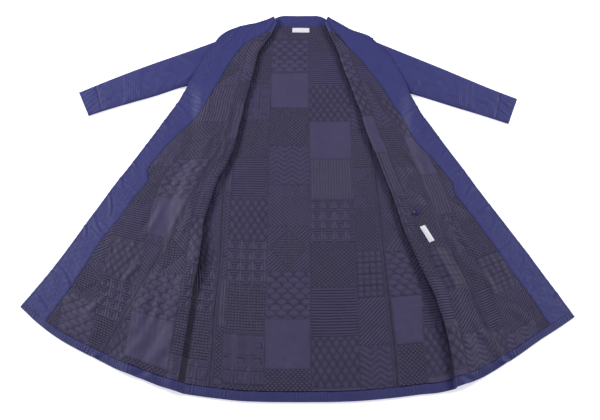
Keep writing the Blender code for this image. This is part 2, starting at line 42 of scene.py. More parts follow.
coat = {
    "shift": (8.36, -83.98),  # from the middle of the outline to the table's own zero
    "shell": 1.2,
    "lining": 2.4,
    "facing": 1.5,
    "seam": 0.3,
    "seat": 1.35,  # middle of the seam between shell and lining, on the floor
    "outerTurn": 3.7,
    "innerTurn": 3.2,
    "turnEase": 1.2,  # a fold that doubles back less is rounder
    "flap": 11.75,
    "settle": 30.0,
    "fall": 42.0,
    "fallStart": 24.0,
    "besideRoll": 18.0,  # creases fade out over this distance from the rolled edge
    "foldFade": 70.0,
    "joinBelow": 43.0,  # how far below the underarm the upper rows take their direction from
    "seamAtNeck": 0.3,  # the front seam's share of the way from the roll to the facing
    "neckInner": 638.0,
    "neckArch": ((0, 682), (50, 683), (66, 679), (78, 671), (88, 659)),  # top edge of the back neck
    "neckAllowance": 3.0,
    "underarm": 418.0,
    "band": -490.0,
    "hem": -515.0,
}
halfSeam = coat["seam"] / 2

# cells of the cloth's grid, all of them even so that the outer cloth can take every other one
cells = {
    "level": 26,
    "outer": 8,
    "strip": 4,
    "inner": 12,
    "side": 56,
    "front": 50,
    "facing": 28,
    "upperRows": 66,
    "lowerRows": 256,
    "bandRows": 8,
    "backColumns": 118,
    "backRowsAbove": 60,
}
underCells = cells["level"] + cells["outer"]
toRoll = cells["strip"] + cells["inner"]
toSeam = toRoll + cells["side"]
toFacing = toSeam + cells["front"]
toEdge = toFacing + cells["facing"]

# Lines down each half, as distances from the centre back at a height y.
lineNames = ("y", "fold", "backSeam", "frontSeam", "facing", "edge", "overlap", "turn", "land")
lines = {
    "left": (
        (418, 146, 185, 170, 234, 318, 110, 180, 11.75),
        (395, 150, 185, 173, 244, 328, 103, 180, 7.5),
        (350, 159, 186, 182, 262, 349, 90, 180, 1.35),
        (310, 163, 187, 188, 282, 370, 80, 180, 1.35),
        (260, 172, 188, 198, 322, 396, 68, 180, 1.35),
        (220, 178, 188, 208, 354, 417, 60, 180, 1.35),
        (160, 193, 190, 231, 392, 449, 50, 180, 1.35),
        (122, 206, 195, 247, 411, 470, 44, 180, 1.35),
        (94, 220, 199, 259, 407, 486, 40, 180, 1.35),
        (30, 237, 203, 287, 443, 520, 34, 180, 1.35),
        (-30, 251, 203, 313, 472, 551, 28, 180, 1.35),
        (-100, 254, 203, 343, 514, 586, 22, 170, 1.35),
        (-170, 259, 203, 373, 544, 623, 12, 120, 1.35),
        (-230, 267, 206, 399, 573, 659, 17, 52, 1.35),
        (-300, 272, 210, 429, 611, 703, 19, 36, 1.35),
        (-400, 280, 210, 472, 660, 765, 20, 30, 1.35),
        (-515, 289, 214, 522, 720, 835, 20, 24, 1.35),
    ),
    "right": (
        (418, 145, 188, 192, 224, 301, 111, 180, 11.75),
        (385, 153, 189, 207, 242, 312, 101, 180, 10.5),
        (350, 162, 190, 222, 256, 328, 92, 180, 4.0),
        (310, 174, 192, 240, 276, 344, 80, 180, 1.35),
        (260, 184, 194, 265, 298, 371, 68, 180, 1.35),
        (220, 194, 196, 280, 317, 392, 60, 180, 1.35),
        (160, 213, 199, 299, 361, 424, 50, 180, 1.35),
        (120, 224, 202, 312, 385, 445, 44, 180, 1.35),
        (75, 237, 204, 326, 408, 468, 38, 180, 1.35),
        (55, 243, 205, 332, 409, 479, 36, 180, 1.35),
        (0, 257, 208, 350, 439, 509, 32, 180, 1.35),
        (-60, 270, 210, 368, 472, 543, 30, 180, 1.35),
        (-120, 289, 213, 387, 503, 575, 28, 180, 1.35),
        (-180, 309, 215, 406, 531, 607, 26, 175, 1.35),
        (-240, 331, 218, 425, 565, 639, 24, 165, 1.35),
        (-300, 346, 221, 444, 594, 670, 15, 150, 1.35),
        (-400, 361, 226, 475, 640, 722, 10, 120, 1.35),
        (-515, 366, 227, 512, 700, 782, 9, 95, 1.35),
    ),
}

# The front above the underarm, from the neck point down, each row as
# the strip's outer end, the fold, the facing's edge and the front edge.
upperRows = {
    "left": (
        ((86, 650), (72, 644), (75, 656), (78, 669)),
        ((150, 624), (88, 602), (98, 608), (128, 645)),
        ((210, 599), (108, 565), (150, 571), (186, 628)),
        ((212, 574), (126, 528), (178, 536), (233, 598)),
        ((196, 530), (133, 490), (204, 490), (262, 548)),
        ((196, 475), (139, 452), (220, 453), (293, 478)),
    ),
    "right": (
        ((88, 648), (77, 644), (80, 656), (84, 668)),
        ((150, 622), (88, 610), (99, 613), (120, 642)),
        ((210, 594), (102, 572), (128, 566), (172, 604)),
        ((212, 570), (115, 532), (152, 532), (219, 576)),
        ((196, 526), (124, 494), (180, 494), (262, 514)),
        ((196, 473), (133, 457), (200, 457), (284, 462)),
    ),
}

hemRise = {  # how far the hem lies above its middle, at a distance from the centre back
    "left": (
        (0, 0), (93, 1), (139, 3), (186, 8), (233, 14), (280, 22), (328, 37), (376, 56),
        (426, 75), (476, 100), (527, 125), (587, 158), (644, 199), (690, 239), (760, 300),
    ),
    "right": (
        (0, 0), (93, 1), (139, 3), (186, 7), (233, 12), (279, 18), (327, 23), (374, 35),
        (423, 55), (474, 84), (526, 116), (579, 152), (632, 185), (673, 212), (760, 268),
    ),
}
shoulderDrop = ((0, 0), (92, 0), (226, 48))
armhole = ((418, 186), (470, 191), (520, 192), (560, 204), (600, 224))

# Long soft folds of the fronts: side, distance outside the rolled edge, height,
# half width, where each starts and ends down the coat.
softFolds = (
    ("left", 30, 3.0, 9, 360, 120),
    ("left", 50, 2.6, 8, 340, 60),
    ("left", 76, 2.2, 10, 300, 0),
    ("left", 38, 2.6, 9, 60, -160),
    ("left", 52, 5.0, 20, -120, -500),
    ("left", 84, 2.4, 9, 20, -300),
    ("left", 112, 4.4, 24, -180, -500),
    ("right", 32, 3.0, 9, 360, 70),
    ("right", 52, 3.6, 13, 330, 90),
    ("right", 50, 5.6, 18, 60, -470),
    ("right", 88, 2.6, 10, 220, -60),
    ("right", 104, 3.0, 13, -40, -440),
)

# Creases placed one by one: middle x and y, direction in degrees from +X, length, half width,
# height (a trough where it is negative) and how far its middle bows.
creases = {
    "left": (
        (-318, 372, -38, 74, 6, 4.0, 6), (-296, 348, -30, 66, 6, -3.0, -5),
        (-345, 342, -44, 82, 7, 4.5, 8), (-372, 318, -36, 70, 6, 3.2, -6),
        (-352, 300, -50, 58, 5, -3.0, 5), (-392, 300, -40, 84, 7, 4.4, 9),
        (-378, 272, -34, 60, 6, 3.0, -6), (-412, 272, -48, 72, 6, 3.6, 6),
        (-398, 244, -40, 66, 6, -3.0, 5), (-436, 238, -38, 76, 7, 3.8, -7),
        (-426, 208, -46, 58, 6, 2.8, 5), (-305, 470, 8, 62, 6, 3.6, 5),
        (-282, 440, -14, 60, 6, 2.8, -5), (-262, 498, 22, 58, 6, 3.2, 5),
        (-222, 560, 48, 66, 7, 3.6, -6), (-196, 604, 60, 56, 6, 3.0, 5),
        (-204, 540, 20, 58, 6, -2.8, 5), (-168, 580, 66, 54, 6, 3.0, -4),
        (-150, 620, 50, 40, 5, 2.4, 3), (-500, 18, -82, 74, 5, 3.4, 6),
        (-528, -52, -60, 66, 6, 3.6, -7), (-556, -60, -80, 48, 5, 2.6, 4),
        (-482, 96, -70, 60, 6, 2.6, 5), (-588, -196, -58, 78, 6, 3.6, 7),
        (-632, -170, -66, 52, 6, 2.6, -4), (-640, -262, -50, 62, 6, 3.0, 5),
        (-700, -256, -40, 48, 5, 2.4, -4), (-452, 150, -58, 50, 5, 2.6, 4),
    ),
    "right": (
        (262, 446, 40, 64, 6, 3.4, 5), (246, 500, 58, 52, 6, 2.8, -5),
        (222, 540, 30, 54, 6, 3.0, 5), (292, 398, 18, 56, 6, 2.8, -5),
        (318, 326, 42, 62, 6, 3.4, 6), (344, 282, 56, 48, 5, 2.6, -4),
        (372, 226, 36, 64, 6, 3.4, 6), (394, 174, 62, 46, 5, 2.4, -4),
        (424, 112, 30, 66, 6, 3.4, 6), (452, 60, 58, 50, 5, 2.6, 4),
        (480, -4, 34, 66, 6, 3.4, -6), (500, -58, 64, 46, 5, 2.4, 4),
        (528, -112, 32, 62, 6, 3.2, 6), (566, -160, 60, 44, 5, 2.4, -4),
        (600, -216, 28, 66, 6, 3.2, 5), (640, -236, 60, 50, 6, 2.6, 4),
        (176, 590, 70, 50, 6, 2.6, 4), (150, 612, 40, 44, 5, 2.4, -3),
    ),
    "panels": (
        (-246, 214, 64, 96, 9, 3.0, 8), (-262, 318, 72, 110, 9, 3.2, -9),
        (-322, 96, 60, 130, 10, 3.2, 10), (-380, -40, 66, 140, 10, 3.4, -10),
        (-430, -190, 62, 130, 10, 3.0, 9), (-500, -270, 48, 110, 10, 3.0, 8),
        (-352, -300, 76, 150, 10, 3.2, -9), (-300, -60, 70, 120, 9, 3.0, 8),
        (-494, -406, 30, 60, 8, 4.2, 4), (-376, -462, 12, 56, 8, 3.8, 4),
        (258, 260, -64, 90, 9, 3.0, 8), (300, 160, -60, 110, 9, 3.2, -8),
        (372, 40, -62, 120, 10, 3.2, 9), (420, -90, -60, 130, 10, 3.4, -9),
        (470, -210, -56, 120, 10, 3.0, 8), (540, -300, -46, 100, 10, 3.0, 8),
        (389, -476, -14, 56, 8, 3.8, 4), (489, -421, -30, 60, 8, 4.0, 4),
        (430, -330, -70, 120, 9, 3.0, -8),
    ),
    "back": (
        (-60, 500, 80, 150, 12, 1.4, 10), (70, 430, 100, 160, 12, 1.3, -10),
        (-90, 250, 84, 170, 12, 1.3, 12), (40, 120, 74, 160, 12, 1.4, -12),
        (110, -40, 96, 170, 12, 1.3, 10), (-70, -160, 88, 190, 12, 1.4, 12),
        (30, -300, 82, 180, 12, 1.4, -10), (-150, -350, 94, 200, 11, 1.5, 8),
        (140, -370, 86, 190, 11, 1.5, -8), (-20, -440, 78, 120, 10, 1.4, 6),
    ),
}

# Sleeves: the upper and lower edge, as (x, y) from the armhole to the cuff's end.
sleeveTop = {
    "left": ((229, 588), (331, 539), (461, 478), (582, 415), (634, 386)),
    "right": ((229, 574), (295, 539), (408, 478), (567, 390), (620, 363)),
}
sleeveBottom = {
    "left": ((264, 425), (320, 415), (415, 377), (565, 320), (597, 306)),
    "right": ((268, 402), (321, 384), (437, 338), (540, 297), (585, 278)),
}
armCurve = {
    "left": ((231, 588), (215, 566), (200, 529), (200, 477), (256, 425), (264, 425)),
    "right": ((231, 574), (215, 560), (200, 527), (200, 475), (259, 424), (268, 402)),
}
sleeve = {
    "cuff": 0.885,
    "rows": 128,
    "across": 44,
    "edgeHeight": 2.9,
    "wall": 3.0,
    "room": 3.4,
    "cloth": 1.3,
    "ridgeHeight": 1.5,
    "ridgesFrom": 0.555,  # shares of the way down the sleeve
    "ridgesTo": 0.705,
    "ridges": 5.5,
    "ridgeSkew": 0.03,
    "joined": 0.24,
    "flatFrom": 0.8,
    "puff": 0.55,
    "unrest": 0.35,
    "cuffSeam": 1.1,
    "cuffRidge": 0.5,
    "length": 440,
}
# Creases of the sleeves, as the creases above, but with the place as shares along and across,
# and the direction in radians from square to +X.
sleeveCreases = {
    "left": (
        (0.05, 0.30, 1.45, 70, 6, 3.0, 8), (0.07, 0.62, 1.75, 84, 7, 3.4, -8),
        (0.13, 0.45, 1.2, 90, 7, 2.4, 9), (0.20, 0.78, 0.7, 70, 6, 2.6, 6),
        (0.24, 0.25, 2.1, 76, 7, 2.2, -7), (0.33, 0.55, 1.8, 90, 7, 2.2, 7),
        (0.42, 0.35, 1.3, 80, 6, 2.0, -6), (0.49, 0.72, 1.9, 66, 6, 2.0, 5),
        (0.78, 0.45, 1.5, 90, 6, 2.2, 5), (0.83, 0.62, 1.2, 60, 5, 1.8, -4),
        (0.10, 0.88, 0.3, 60, 6, 2.4, 5),
    ),
    "right": (
        (0.05, 0.35, 1.7, 70, 6, 2.8, 8), (0.09, 0.66, 1.35, 84, 7, 3.2, -8),
        (0.16, 0.42, 1.9, 90, 7, 2.4, 9), (0.22, 0.78, 2.5, 70, 6, 2.4, 6),
        (0.28, 0.25, 1.1, 76, 7, 2.2, -7), (0.36, 0.55, 1.4, 90, 7, 2.2, 7),
        (0.46, 0.35, 1.9, 80, 6, 2.0, -6), (0.52, 0.70, 1.3, 66, 6, 2.0, 5),
        (0.78, 0.50, 1.2, 90, 6, 2.2, 5), (0.84, 0.35, 0.9, 60, 5, 1.8, -4),
        (0.93, 0.35, 0.8, 46, 4, 1.6, 3), (0.93, 0.65, 0.8, 46, 4, 1.6, -3),
    ),
}


def smooth(value):
    value = np.clip(value, 0.0, 1.0)
    return value * value * (3 - 2 * value)


def lerp(start, end, share):
    return np.asarray(start, float) * (1 - share) + np.asarray(end, float) * share


def throughPoints(knots, values, at):
    # a smooth curve through the points of a table
    knots = np.asarray(knots, float)
    values = np.asarray(values, float)
    slopes = np.gradient(values, knots)
    n = np.clip(np.searchsorted(knots, at) - 1, 0, len(knots) - 2)
    width = knots[n + 1] - knots[n]
    t = np.clip((at - knots[n]) / width, 0, 1)
    rising = t * t * (3 - 2 * t)
    bend = slopes[n] * t * (1 - t) ** 2 - slopes[n + 1] * t * t * (1 - t)
    return values[n] * (1 - rising) + values[n + 1] * rising + bend * width


def lineAt(side, name, y):
    rows = np.array(lines[side], float)[::-1]
    return throughPoints(rows[:, 0], rows[:, lineNames.index(name)], y)


def rowY(side, base, x):
    # height of a row at x: level at the underarm, and like the hem at the hem
    rise = np.array(hemRise[side], float)
    share = (coat["underarm"] - base) / (coat["underarm"] - coat["hem"])
    below = base + throughPoints(rise[:, 0], rise[:, 1], x) * share
    drop = np.array(shoulderDrop, float)
    share = (base - coat["underarm"]) / (coat["neckInner"] - coat["underarm"])
    above = base - np.interp(x, drop[:, 0], drop[:, 1]) * share
    return np.where(base <= coat["underarm"], below, above)


def onRow(side, bases, line):
    y = np.array(bases, float)
    for _ in range(40):
        x = line(y)
        y = rowY(side, bases, x)
    return x, y


def crossing(side, bases, name):
    return onRow(side, bases, lambda y: lineAt(side, name, y))


def ripple(u, v, shortest, longest, seed):
    # an even mix of waves, the same at every run, between about -1 and 1
    waves = 9
    picked = np.random.RandomState(seed)
    total = np.zeros(np.broadcast(u, v).shape)
    for _ in range(waves):
        angle = picked.uniform(0, math.pi)
        wave = picked.uniform(shortest, longest) / (2 * math.pi)
        phase = picked.uniform(0, 2 * math.pi)
        total += np.sin((u * math.cos(angle) + v * math.sin(angle)) / wave + phase)
    return total / (waves / 2)


def finelyCreased(table):
    # the facing's creases are longer and crisper than those of the quilted cloth
    return [
        (cx, cy, turn, length * 1.3, half * 0.6, tall * 0.62, bow * 1.3)
        for cx, cy, turn, length, half, tall, bow in table
    ]


def creaseHeight(x, y, table):
    # soft ridges with a faint trough beside each, thinning out towards both ends
    height = np.zeros(x.shape)
    for cx, cy, turn, length, half, tall, bow in table:
        angle = math.radians(turn)
        along = ((x - cx) * math.cos(angle) + (y - cy) * math.sin(angle)) / (length / 2)
        beside = -(x - cx) * math.sin(angle) + (y - cy) * math.cos(angle)
        beside = (beside + bow * along**2) / half
        taper = np.where(np.abs(along) < 1, (1 - along**2) ** 2, 0)
        height += tall * taper * (np.exp(-(beside**2)) - 0.5 * np.exp(-((beside - 1.7) ** 2)))
    return height


unrest = {"broad": 1.1, "fine": 0.35}


def restlessness(x, y):
    # the cloth's own unevenness on the floor, never below it
    broad = unrest["broad"] + unrest["broad"] * ripple(x, y, 120, 260, 3)
    fine = unrest["fine"] * ripple(x, y, 26, 60, 8)
    return np.maximum(broad + fine, 0)


def flapHeight(side, x, y):
    sign = -1 if side == "left" else 1
    table = finelyCreased(creases[side]) + list(creases["panels"])
    return restlessness(sign * x, y) + creaseHeight(sign * x, y, table)


def foldedRows(side, bases):
    # x, y and z of every row, from the back seam through the fold to the front edge
    seamX = crossing(side, bases, "backSeam")[0]
    foldX, foldY = crossing(side, bases, "fold")
    turn = np.radians(np.clip(lineAt(side, "turn", foldY), 0, 180))[:, None]
    overlap = lineAt(side, "overlap", foldY)[:, None]
    land = np.maximum(lineAt(side, "land", foldY), coat["seat"])[:, None]
    ease = 1 + coat["turnEase"] * (1 - turn / math.pi)
    outer = coat["outerTurn"] * ease
    inner = coat["innerTurn"] * ease
    strip = np.maximum(overlap - coat["outerTurn"] - coat["innerTurn"], 1.0)

    angle = turn * np.linspace(0, 1, cells["outer"] + 1)
    underX = outer * np.sin(angle)
    underZ = coat["seat"] + outer * (1 - np.cos(angle))
    footX = underX[:, -1:] + strip * np.cos(turn)
    footZ = underZ[:, -1:] + strip * np.sin(turn)
    angle = turn * np.linspace(1, 0, cells["inner"] + 1)
    rollX = footX + inner * (np.sin(turn) - np.sin(angle))
    rollZ = footZ + inner * (np.cos(angle) - np.cos(turn))
    shift = foldX[:, None] - (footX + inner * (np.sin(turn) - np.sin(turn / 2)))
    underX = underX + shift
    rollX = rollX + shift
    share = np.arange(cells["level"]) / cells["level"]
    levelX = lerp(seamX[:, None], underX[:, :1], share)
    levelZ = np.full(levelX.shape, coat["seat"])
    share = np.arange(1, cells["strip"]) / cells["strip"]
    stripX = lerp(underX[:, -1:], rollX[:, :1], share)
    stripZ = lerp(underZ[:, -1:], rollZ[:, :1], share)

    endX = rollX[:, -1:]
    endZ = rollZ[:, -1:]
    fallFrom = np.maximum(underX.max(axis=1, keepdims=True) + coat["fallStart"], endX)
    marks = [endX] + [crossing(side, bases, n)[0][:, None] for n in ("frontSeam", "facing", "edge")]
    counts = (cells["side"], cells["front"], cells["facing"])
    flat = []
    for start, end, count in zip(marks, marks[1:], counts):
        flat.append(lerp(start, end, np.arange(1, count + 1) / count))
    flapX = np.hstack(flat)
    held = np.minimum(coat["flap"], endZ)
    flapZ = held + (endZ - held) * (1 - smooth((flapX - endX) / coat["settle"]))
    flapZ = lerp(flapZ, land, smooth((flapX - fallFrom) / coat["fall"]))
    flapY = rowY(side, bases[:, None], flapX)
    wander = 7 * np.sin(flapY / 41.0) + 4 * np.sin(flapY / 17.0 + 1)
    for which, centre, tall, half, start, end in softFolds:
        if which != side:
            continue
        fade = coat["foldFade"]
        down = smooth((start - flapY) / fade) * smooth((flapY - end) / fade + 0.25)
        uneven = 1 + 0.25 * np.sin(flapY / 53.0 + centre)
        across = np.exp(-(((flapX - foldX[:, None] - centre - wander) / half) ** 2))
        flapZ += tall * down * across * uneven * smooth((marks[-1] - flapX) / 60)
    rise = flapHeight(side, flapX, flapY) * smooth((flapX - endX) / coat["besideRoll"])
    flapZ = np.maximum(flapZ + rise, np.minimum(flapZ, coat["seat"]))

    x = np.hstack([levelX, underX, stripX, rollX, flapX])
    z = np.hstack([levelZ, underZ, stripZ, rollZ, flapZ])
    y = rowY(side, bases[:, None], x)
    sign = -1 if side == "left" else 1
    return np.dstack([sign * x, y, z])


def shoulderRows(side, lower):
    # rows of the front above the underarm, from the strip's outer end to the front edge
    sign = -1 if side == "left" else 1
    stripZ = coat["seat"] + 2 * coat["outerTurn"]
    top = stripZ + 2 * coat["innerTurn"]
    knots = [np.array(row, float) for row in upperRows[side]]
    step = round(coat["joinBelow"] / ((coat["underarm"] - coat["band"]) / cells["lowerRows"]))
    for n in (0, step):
        row = lower[n].copy()
        row[:, 0] *= sign
        fold = row[underCells + cells["strip"] + cells["inner"] // 2]
        knots.append(
            np.array([row[underCells][:2], fold[:2], row[underCells + toFacing][:2], row[-1][:2]])
        )
    knots = np.array(knots)
    last = len(upperRows[side])
    at = np.linspace(0, last, cells["upperRows"] + 1)[:-1]
    places = np.array(
        [[throughPoints(np.arange(last + 2), knots[:, k, a], at) for a in (0, 1)] for k in range(4)]
    )
    row = lower[0, underCells:].copy()
    row[:, 0] *= sign
    lowerShare = (row[toSeam, 0] - row[toRoll, 0]) / (row[toFacing, 0] - row[toRoll, 0])
    rows = []
    for n, t in enumerate(at):
        arm, fold, facing, edge = (places[k, :, n] for k in range(4))
        inward = (arm - fold) / np.linalg.norm(arm - fold)
        outward = (facing - fold) / np.linalg.norm(facing - fold)
        angle = math.pi * np.linspace(1, 0, cells["inner"] + 1)[:, None]
        way = np.where(angle > math.pi / 2, inward, outward)
        roll = fold + way * coat["innerTurn"] * (1 - np.sin(angle))
        rollZ = stripZ + coat["innerTurn"] * (1 + np.cos(angle))
        share = (np.arange(cells["strip"]) / cells["strip"])[:, None]
        strip = lerp(arm, roll[:1], share)
        start = roll[-1]
        seamShare = lerp(coat["seamAtNeck"], lowerShare, t / last)
        marks = [start, lerp(start, facing, seamShare), facing, edge]
        flap = []
        for a, b, count in zip(marks, marks[1:], (cells["side"], cells["front"], cells["facing"])):
            flap.append(lerp(a, b, (np.arange(1, count + 1) / count)[:, None]))
        flap = np.vstack(flap)
        gone = np.linalg.norm(flap - start, axis=1)
        flapZ = coat["flap"] + (top - coat["flap"]) * (1 - smooth(gone / coat["settle"]))
        flapZ += flapHeight(side, flap[:, 0], flap[:, 1]) * smooth(gone / coat["besideRoll"])
        plan = np.vstack([strip, roll, flap])
        z = np.concatenate([np.full(cells["strip"], stripZ), rollZ[:, 0], flapZ])
        rows.append(np.column_stack([plan[:, 0] * sign, plan[:, 1], z]))
    return np.array(rows)


def normalsOf(points, flip):
    across = np.gradient(points, axis=1)
    along = np.gradient(points, axis=0)
    normal = np.cross(across, along)
    normal /= np.linalg.norm(normal, axis=2, keepdims=True)
    return normal if flip else -normal


def girth(points):
    # length across the cloth from the first column
    steps = np.linalg.norm(np.diff(points, axis=1), axis=2)
    return np.hstack([np.zeros((len(points), 1)), np.cumsum(steps, axis=1)])


def parted(points, shown):
    # draws each border of the chosen cells in by half a seam
    rows, columns = points.shape[:2]
    padded = np.zeros((rows + 1, columns + 1), bool)
    padded[1:-1, 1:-1] = shown
    upLeft, upRight = padded[:-1, :-1], padded[:-1, 1:]
    lowLeft, lowRight = padded[1:, :-1], padded[1:, 1:]
    right = (upRight & ~upLeft) | (lowRight & ~lowLeft)
    left = (upLeft & ~upRight) | (lowLeft & ~lowRight)
    down = (lowLeft & ~upLeft) | (lowRight & ~upRight)
    up = (upLeft & ~lowLeft) | (upRight & ~lowRight)
    moved = points.copy()
    for forward, back, axis in ((right, left, 1), (down, up, 0)):
        for chosen, other, way in ((forward, back, -1), (back, forward, 1)):
            pull = np.roll(points, way, axis=axis) - points
            pull /= np.maximum(np.linalg.norm(pull, axis=2, keepdims=True), 1e-6)
            moved += pull * halfSeam * (chosen & ~other)[:, :, None]
    return moved


def chosenCells(shape, *blocks):
    # each block is first row, end row, first column, end column
    shown = np.zeros((shape[0] - 1, shape[1] - 1), bool)
    for top, bottom, first, last in blocks:
        shown[top:bottom, first:last] = True
    return shown


quilting = {
    "relief": 1.2,
    "softness": 0.6,
    "diamond": 17.0,
    "square": 16.0,
    "chevron": 15.0,
    "chevronWidth": 42.0,
    "clamshell": 30.0,
    "frame": 40.0,
    "tooth": 30.0,
    "medallion": 0.85,  # of half the patch
    "outline": 0.7,
    "slant": (0.87, 0.5),
    "fine": 7.6,  # between two fine lines; the real ones are 4 to 6 apart, too fine to show
    "patchTall": 128.0,
    "pucker": 0.5,
    "crinkle": 0.2,
    "border": 0.6,
    # kinds of quilting down each column of patches, by turns
    "columns": (
        ("fineDiamond", "sawtooth", "fineDown", "plain", "diamond", "fineAcross"),
        ("square", "fineDiamond", "medallion", "fineSquare", "chevron", "fineRising"),
        ("fineRising", "plain", "clamshell", "fineDiamond", "fineDown", "medallion"),
        ("diamond", "fineAcross", "fineDiamond", "frame", "fineSquare", "sawtooth"),
        ("medallion", "fineFalling", "chevron", "fineDiamond", "plain", "clamshell"),
    ),
    # where fine lines run down, across and along each diagonal
    "fineWays": {
        "fineDown": (1, 0, 0, 0),
        "fineAcross": (0, 1, 0, 0),
        "fineRising": (0, 0, 1, 0),
        "fineFalling": (0, 0, 0, 1),
        "fineSquare": (1, 1, 0, 0),
        "fineDiamond": (0, 0, 1, 1),
    },
    "breaks": (-430.0, -298.0, -182.0, -84.0, 26.0, 142.0, 236.0, 330.0, 440.0),
}


def puff(value, pitch):
    # 0 on a stitched line and 1 half way to the next
    return np.abs(np.sin(math.pi * value / pitch)) ** quilting["softness"]


def fineLines(kind, count):
    return np.tile(np.array(quilting["fineWays"].get(kind, (0, 0, 0, 0)), float), (count, 1))


def motif(kind, u, v, inU, inV):
    # height of the quilting at u and v, and its fine lines; inU and inV run from -1 to 1 in the patch
    full = np.ones(u.shape)
    lines = fineLines(kind, len(u))
    if kind == "diamond":
        pitch = quilting["diamond"]
        wide, tall = quilting["slant"]
        full = np.minimum(puff(u * wide + v * tall, pitch), puff(u * wide - v * tall, pitch))
    if kind == "square":
        full = np.minimum(puff(u, quilting["square"]), puff(v, quilting["square"]))
    if kind == "chevron":
        wide = quilting["chevronWidth"]
        zigzag = np.abs((u / wide) % 1 - 0.5) * wide * 0.8
        full = puff(v + zigzag, quilting["chevron"])
    if kind == "clamshell":
        radius = quilting["clamshell"] / 2
        row = np.floor(v / radius)
        across = (u - (row % 2) * radius) % (2 * radius) - radius
        reach = np.hypot(across, v - row * radius)
        full = np.clip(np.abs(reach - radius) / (0.3 * radius), 0, 1) ** quilting["softness"]
    if kind == "frame":
        wide = quilting["frame"]
        atU = np.abs((u / wide) % 1 - 0.5) * wide
        atV = np.abs((v / wide) % 1 - 0.5) * wide
        full = puff(np.maximum(atU, atV), wide / 5)
    if kind == "medallion":
        reach = np.abs(inU) + np.abs(inV)
        inside = (reach < quilting["medallion"])[:, None]
        lines = np.where(inside, fineLines("fineSquare", len(u)), fineLines("fineRising", len(u)))
        full = 1 - quilting["outline"] * np.exp(-(((reach - quilting["medallion"]) / 0.05) ** 2))
    if kind == "sawtooth":
        tooth = quilting["tooth"]
        slope = np.abs((u / tooth) % 1 - 0.5) * 2 - (v / tooth) % 1
        rising = (slope > 0)[:, None]
        lines = np.where(rising, fineLines("fineDown", len(u)), fineLines("fineAcross", len(u)))
        full = 1 - quilting["outline"] * np.exp(-((slope / 0.12) ** 2))
    return full, lines


def quilt(u, v, offset):
    # a patchwork of plain traditional quilting: its height, 0 to 1, and its fine lines
    breaks = np.array(quilting["breaks"])
    column = np.clip(np.searchsorted(breaks, u) - 1, 0, len(breaks) - 2)
    wide = breaks[column + 1] - breaks[column]
    inU = (u - breaks[column]) / wide * 2 - 1
    tall = quilting["patchTall"]
    place = (v + 53.0 * column + offset) / tall + 0.17 * np.sin(2.3 * column)
    row = np.floor(place)
    inV = (place - row) * 2 - 1
    height = np.zeros(np.shape(u))
    lines = np.zeros((*np.shape(u), 4))
    sets = quilting["columns"]
    for c in range(len(breaks) - 1):
        kinds = sets[(c + int(offset)) % len(sets)]
        for k, kind in enumerate(kinds):
            here = (column == c) & (row % len(kinds) == k)
            if here.any():
                height[here], lines[here] = motif(kind, u[here], v[here], inU[here], inV[here])
    nearest = np.minimum((1 - np.abs(inU)) * wide / 2, (1 - np.abs(inV)) * tall / 2)
    border = 1 - quilting["border"] * np.exp(-((nearest / 2.0) ** 2))
    return np.minimum(height, border), lines


def reliefOf(height, u, v, seed):
    # the quilted layer puckers unevenly between its lines, and its thin cloth crinkles
    pucker = 1 + 0.3 * ripple(u, v, 30, 90, seed)
    relief = height * pucker * quilting["relief"]
    relief += quilting["pucker"] * ripple(u * 1.3, v * 0.8, 14, 40, seed + 20)
    return relief + quilting["crinkle"] * ripple(u, v, 8, 15, seed + 40)


doubleSeam = {
    "halfWidth": 7.5,
    "flat": 0.7,
    "middle": (0.5, 0.0, 1.8),  # each groove's depth, distance from the middle and half width
    "edge": (0.4, 6.5, 1.7),
}


def seamed(height, distance):
    # the flat tape of a double seam: a groove at its middle and one on each side
    tape = doubleSeam["flat"]
    for depth, at, half in (doubleSeam["middle"], doubleSeam["edge"]):
        tape = tape - depth * np.exp(-(((distance - at) / half) ** 2))
    return np.where(distance < doubleSeam["halfWidth"], np.maximum(tape, 0), height)


def clearOfSeam(distance):
    return (distance > doubleSeam["halfWidth"])[:, :, None]


def metres(points):
    moved = np.array(points, float).reshape(-1, 3)
    moved[:, 0] += coat["shift"][0]
    moved[:, 1] += coat["shift"][1]
    return moved * 0.001


def linear(hexColour):
    channels = [int(hexColour[i : i + 2], 16) / 255 for i in (1, 3, 5)]
    return tuple(c / 12.92 if c <= 0.04045 else ((c + 0.055) / 1.055) ** 2.4 for c in channels) + (1.0,)


def addNode(tree, kind, inputs=None, **settings):
    node = tree.nodes.new(kind)
    for name, value in settings.items():
        setattr(node, name, value)
    for socket, value in (inputs or {}).items():
        if isinstance(value, bpy.types.NodeSocket):
            tree.links.new(value, node.inputs[socket])
        else:
            node.inputs[socket].default_value = value
    return node


def newMaterial(name):
    made = bpy.data.materials.new(name)
    made.use_nodes = True
    tree = made.node_tree
    return made, tree, tree.nodes["Principled BSDF"]


def bands(tree, uv, spacing, way, waver=0.6):
    # even lines across the cloth, spacing millimetres apart: the wave has 20 * scale / 2 pi of them a metre
    return addNode(
        tree, "ShaderNodeTexWave",
        {"Vector": uv, "Scale": 100 * math.pi / spacing, "Distortion": waver, "Detail": 1.0},
        wave_type="BANDS", bands_direction=way,
    ).outputs["Fac"]


def mathOf(tree, operation, first, second):
    return addNode(tree, "ShaderNodeMath", {0: first, 1: second}, operation=operation).outputs[0]


def mixed(tree, share, first, second):
    node = addNode(tree, "ShaderNodeMix", {0: share, 6: first, 7: second}, data_type="RGBA")
    return node.outputs[2]


def bumped(tree, height, strength, depth, under=None):
    # depth in millimetres
    inputs = {"Height": height, "Strength": strength, "Distance": depth * 0.001}
    if under:
        inputs["Normal"] = under
    return addNode(tree, "ShaderNodeBump", inputs).outputs["Normal"]


